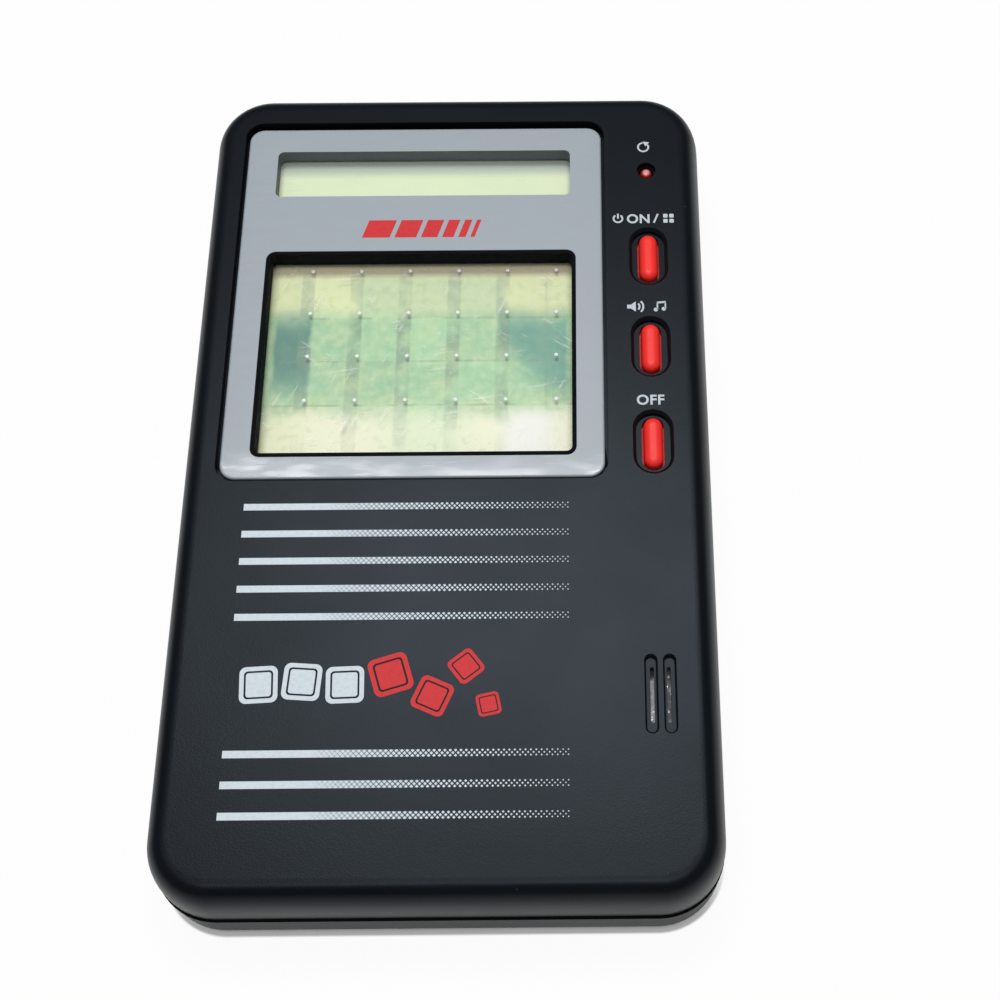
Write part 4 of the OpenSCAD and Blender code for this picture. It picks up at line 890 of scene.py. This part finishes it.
class WORDGAME_OT_tiles(GamePiece, bpy.types.Operator):
    """Print the motif: a row of blank tiles, white ones in line and red ones tumbling away"""

    bl_idname = "wordgame.tiles"
    bl_label = "Tiles"

    def execute(self, context):
        looks = context.scene.wordgame_print
        origin = np.array([bezel_low.x + 9*MM, bezel_low.y - 33.6*MM])
        white = [(0, 0, 5.6, 3), (6.3, 0.4, 5.6, -4), (12.6, -0.1, 5.6, 2)]
        red = [(19.2, 1.4, 5.9, 17), (25.4, -1.9, 5.2, -24), (30.2, 2.6, 4.3, 38), (33.6, -3.2, 3.4, 12)]
        groups = (("white", looks.white, white, "dot_white"), ("red", looks.red, red, "button_red"))
        for word, colour, tiles, slot in groups:
            outlines = [rounded_square(origin + np.array([x, y])*MM, size*MM, turn, size*MM*0.18)
                        for x, y, size, turn in tiles]
            points, faces = slabs(outlines, face_z, INK)
            ink = printed_ink(f"{word}_tile_ink", colour)
            add_piece(f"{word}_tiles", points, faces, [ink], "case")
        dark = printed_ink("tile_line_ink", context.scene.wordgame_shell.front)
        lines = [self.frame_line(origin + np.array([x, y])*MM, size*MM, turn)
                 for x, y, size, turn in white + red]
        points, faces = joined(lines)
        add_piece("tile_lines", points, faces, [dark], "case")
        return {"FINISHED"}

    def frame_line(self, centre, size, turn):
        """Thin square line inside a tile, as a ring of four-sided slabs."""
        outer = rounded_square(centre, size*0.76, turn, size*0.1)
        inner = rounded_square(centre, size*0.66, turn, size*0.07)
        quads = np.stack([inner, outer, np.roll(outer, -1, 0), np.roll(inner, -1, 0)], axis=1)
        return slabs(quads, face_z + INK, INK*0.3)


class WORDGAME_OT_stage(GamePiece, bpy.types.Operator):
    """Lay the white floor, hang the lamps and set the camera"""

    bl_idname = "wordgame.stage"
    bl_label = "Stage"

    def execute(self, context):
        looks = context.scene.wordgame_stage
        self.lay_floor()
        self.light_world(context.scene, looks.ambient)
        height = 0.95
        self.hang_lamp("key", (-0.02, 0.325, height), (0.5, 0.24), math.radians(-1.2), looks.key)
        self.hang_lamp("top", (0, -0.2, height), (0.5, 0.3), 0, looks.top)
        self.set_camera(context.scene, looks)
        context.scene.view_settings.view_transform = "Standard"
        return {"FINISHED"}

    def lay_floor(self):
        """Pale floor that shows the object's shadow from above and lets the view through from below."""
        f = new_finish("stage_floor")
        path = f.add("ShaderNodeLightPath", output="Is Camera Ray")
        pale = f.principled(Base_Color=(0.93, 0.93, 0.93), Roughness=0.9, Specular_ior_Level=0.1)
        white = f.add("ShaderNodeEmission", {}, {"Color": (1, 1, 1, 1), "Strength": 1.0})
        front, corner = -cad_low.y, 9.8*MM
        seen, mirrored = 0.93, 0.42
        beyond = [abs(f.axis(name)) - (reach - corner) for name, reach in (("X", cad_high.x), ("Y", front))]
        beyond = [b.maths("POWER", b.maths("MAXIMUM", b, 0.0), 2.0) for b in beyond]
        away = beyond[0].maths("SQRT", beyond[0] + beyond[1]) - corner
        contact = f.step(away, 0.78*MM, 0.3*MM)*f.step(f.axis("Y"), -front*0.8, -front)
        lit = f.blend(path*(seen - contact*seen) + path.out("Is Glossy Ray")*mirrored, pale, white)
        below = f.add("ShaderNodeNewGeometry", output="Backfacing")
        f.done(f.blend(below, lit, f.add("ShaderNodeBsdfTransparent")))
        reach, drop = 3.0, 0.05*MM
        mesh = bpy.data.meshes.new("floor")
        corners = [(x*reach, y*reach, -drop) for x, y in ((-1, -1), (1, -1), (1, 1), (-1, 1))]
        mesh.from_pydata(corners, [], [(0, 1, 2, 3)])
        mesh.materials.append(f.owner)
        floor = bpy.data.objects.new("floor", mesh)
        bpy.context.scene.collection.objects.link(floor)
        floor.visible_shadow = False
        floor.visible_diffuse = False

    def light_world(self, scene, ambient):
        """World that is white to the eye and through clear sheets, and a soft ambient light."""
        world = bpy.data.worlds.new("studio")
        scene.world = world
        f = Finish(world)
        path = f.add("ShaderNodeLightPath", output="Is Camera Ray")
        seen = path.maths("MAXIMUM", path, path.out("Is Transmission Ray"))
        f.done(f.add("ShaderNodeBackground", {}, {
            "Color": (1, 1, 1, 1), "Strength": seen*(1 - ambient) + ambient}))

    def hang_lamp(self, name, place, size, swing, power):
        """Rectangular softbox that faces straight down, swung about its own axis."""
        data = bpy.data.lights.new(name, "AREA")
        data.shape = "RECTANGLE"
        data.size, data.size_y = size
        data.energy = power
        lamp = bpy.data.objects.new(name, data)
        bpy.context.scene.collection.objects.link(lamp)
        lamp.location = place
        lamp.rotation_euler = (0, 0, swing)

    def set_camera(self, scene, looks):
        """Camera turned by roll, tilt and swing, from a frame that looks along +Z with Y down."""
        roll, tilt, swing = looks.camera_turn
        turn = Matrix.Rotation(roll, 3, "Z") @ Matrix.Rotation(tilt, 3, "X") @ Matrix.Rotation(swing, 3, "Y")
        data = bpy.data.cameras.new("camera")
        data.sensor_width = 36
        data.lens = looks.lens
        data.shift_x, data.shift_y = looks.shift
        data.clip_start = 1*MM
        camera = bpy.data.objects.new("camera", data)
        scene.collection.objects.link(camera)
        facing = turn.transposed() @ Matrix.Diagonal((1, -1, -1))
        camera.matrix_world = Matrix.Translation(looks.camera_place) @ facing.to_4x4()
        scene.camera = camera


OPERATORS = (
    WORDGAME_OT_shells, WORDGAME_OT_bezel, WORDGAME_OT_screens, WORDGAME_OT_buttons, WORDGAME_OT_sounder,
    WORDGAME_OT_electronics, WORDGAME_OT_cells, WORDGAME_OT_stripes, WORDGAME_OT_labels, WORDGAME_OT_tiles,
    WORDGAME_OT_stage,
)
SETTINGS = {
    "wordgame_shell": ShellLooks, "wordgame_screen": ScreenLooks, "wordgame_print": PrintLooks,
    "wordgame_stage": StageLooks,
}


class WORDGAME_PT_panel(bpy.types.Panel):
    """Lists the pieces and their settings"""

    bl_label = "Word Game"
    bl_idname = "WORDGAME_PT_panel"
    bl_space_type = "VIEW_3D"
    bl_region_type = "UI"
    bl_category = "Word Game"

    def draw(self, context):
        for operator in OPERATORS:
            self.layout.operator(operator.bl_idname)
        for name, group in SETTINGS.items():
            box = self.layout.box()
            for setting in group.__annotations__:
                box.prop(getattr(context.scene, name), setting)


def register():
    for cls in (*SETTINGS.values(), *OPERATORS, WORDGAME_PT_panel):
        bpy.utils.register_class(cls)
    for name, group in SETTINGS.items():
        setattr(bpy.types.Scene, name, PointerProperty(type=group))


def unregister():
    for name in SETTINGS:
        delattr(bpy.types.Scene, name)
    for cls in reversed((*SETTINGS.values(), *OPERATORS, WORDGAME_PT_panel)):
        bpy.utils.unregister_class(cls)


def main():
    register()
    for operator in OPERATORS:
        getattr(bpy.ops.wordgame, operator.bl_idname.split(".")[1])()


if __name__ == "__main__":
    main()
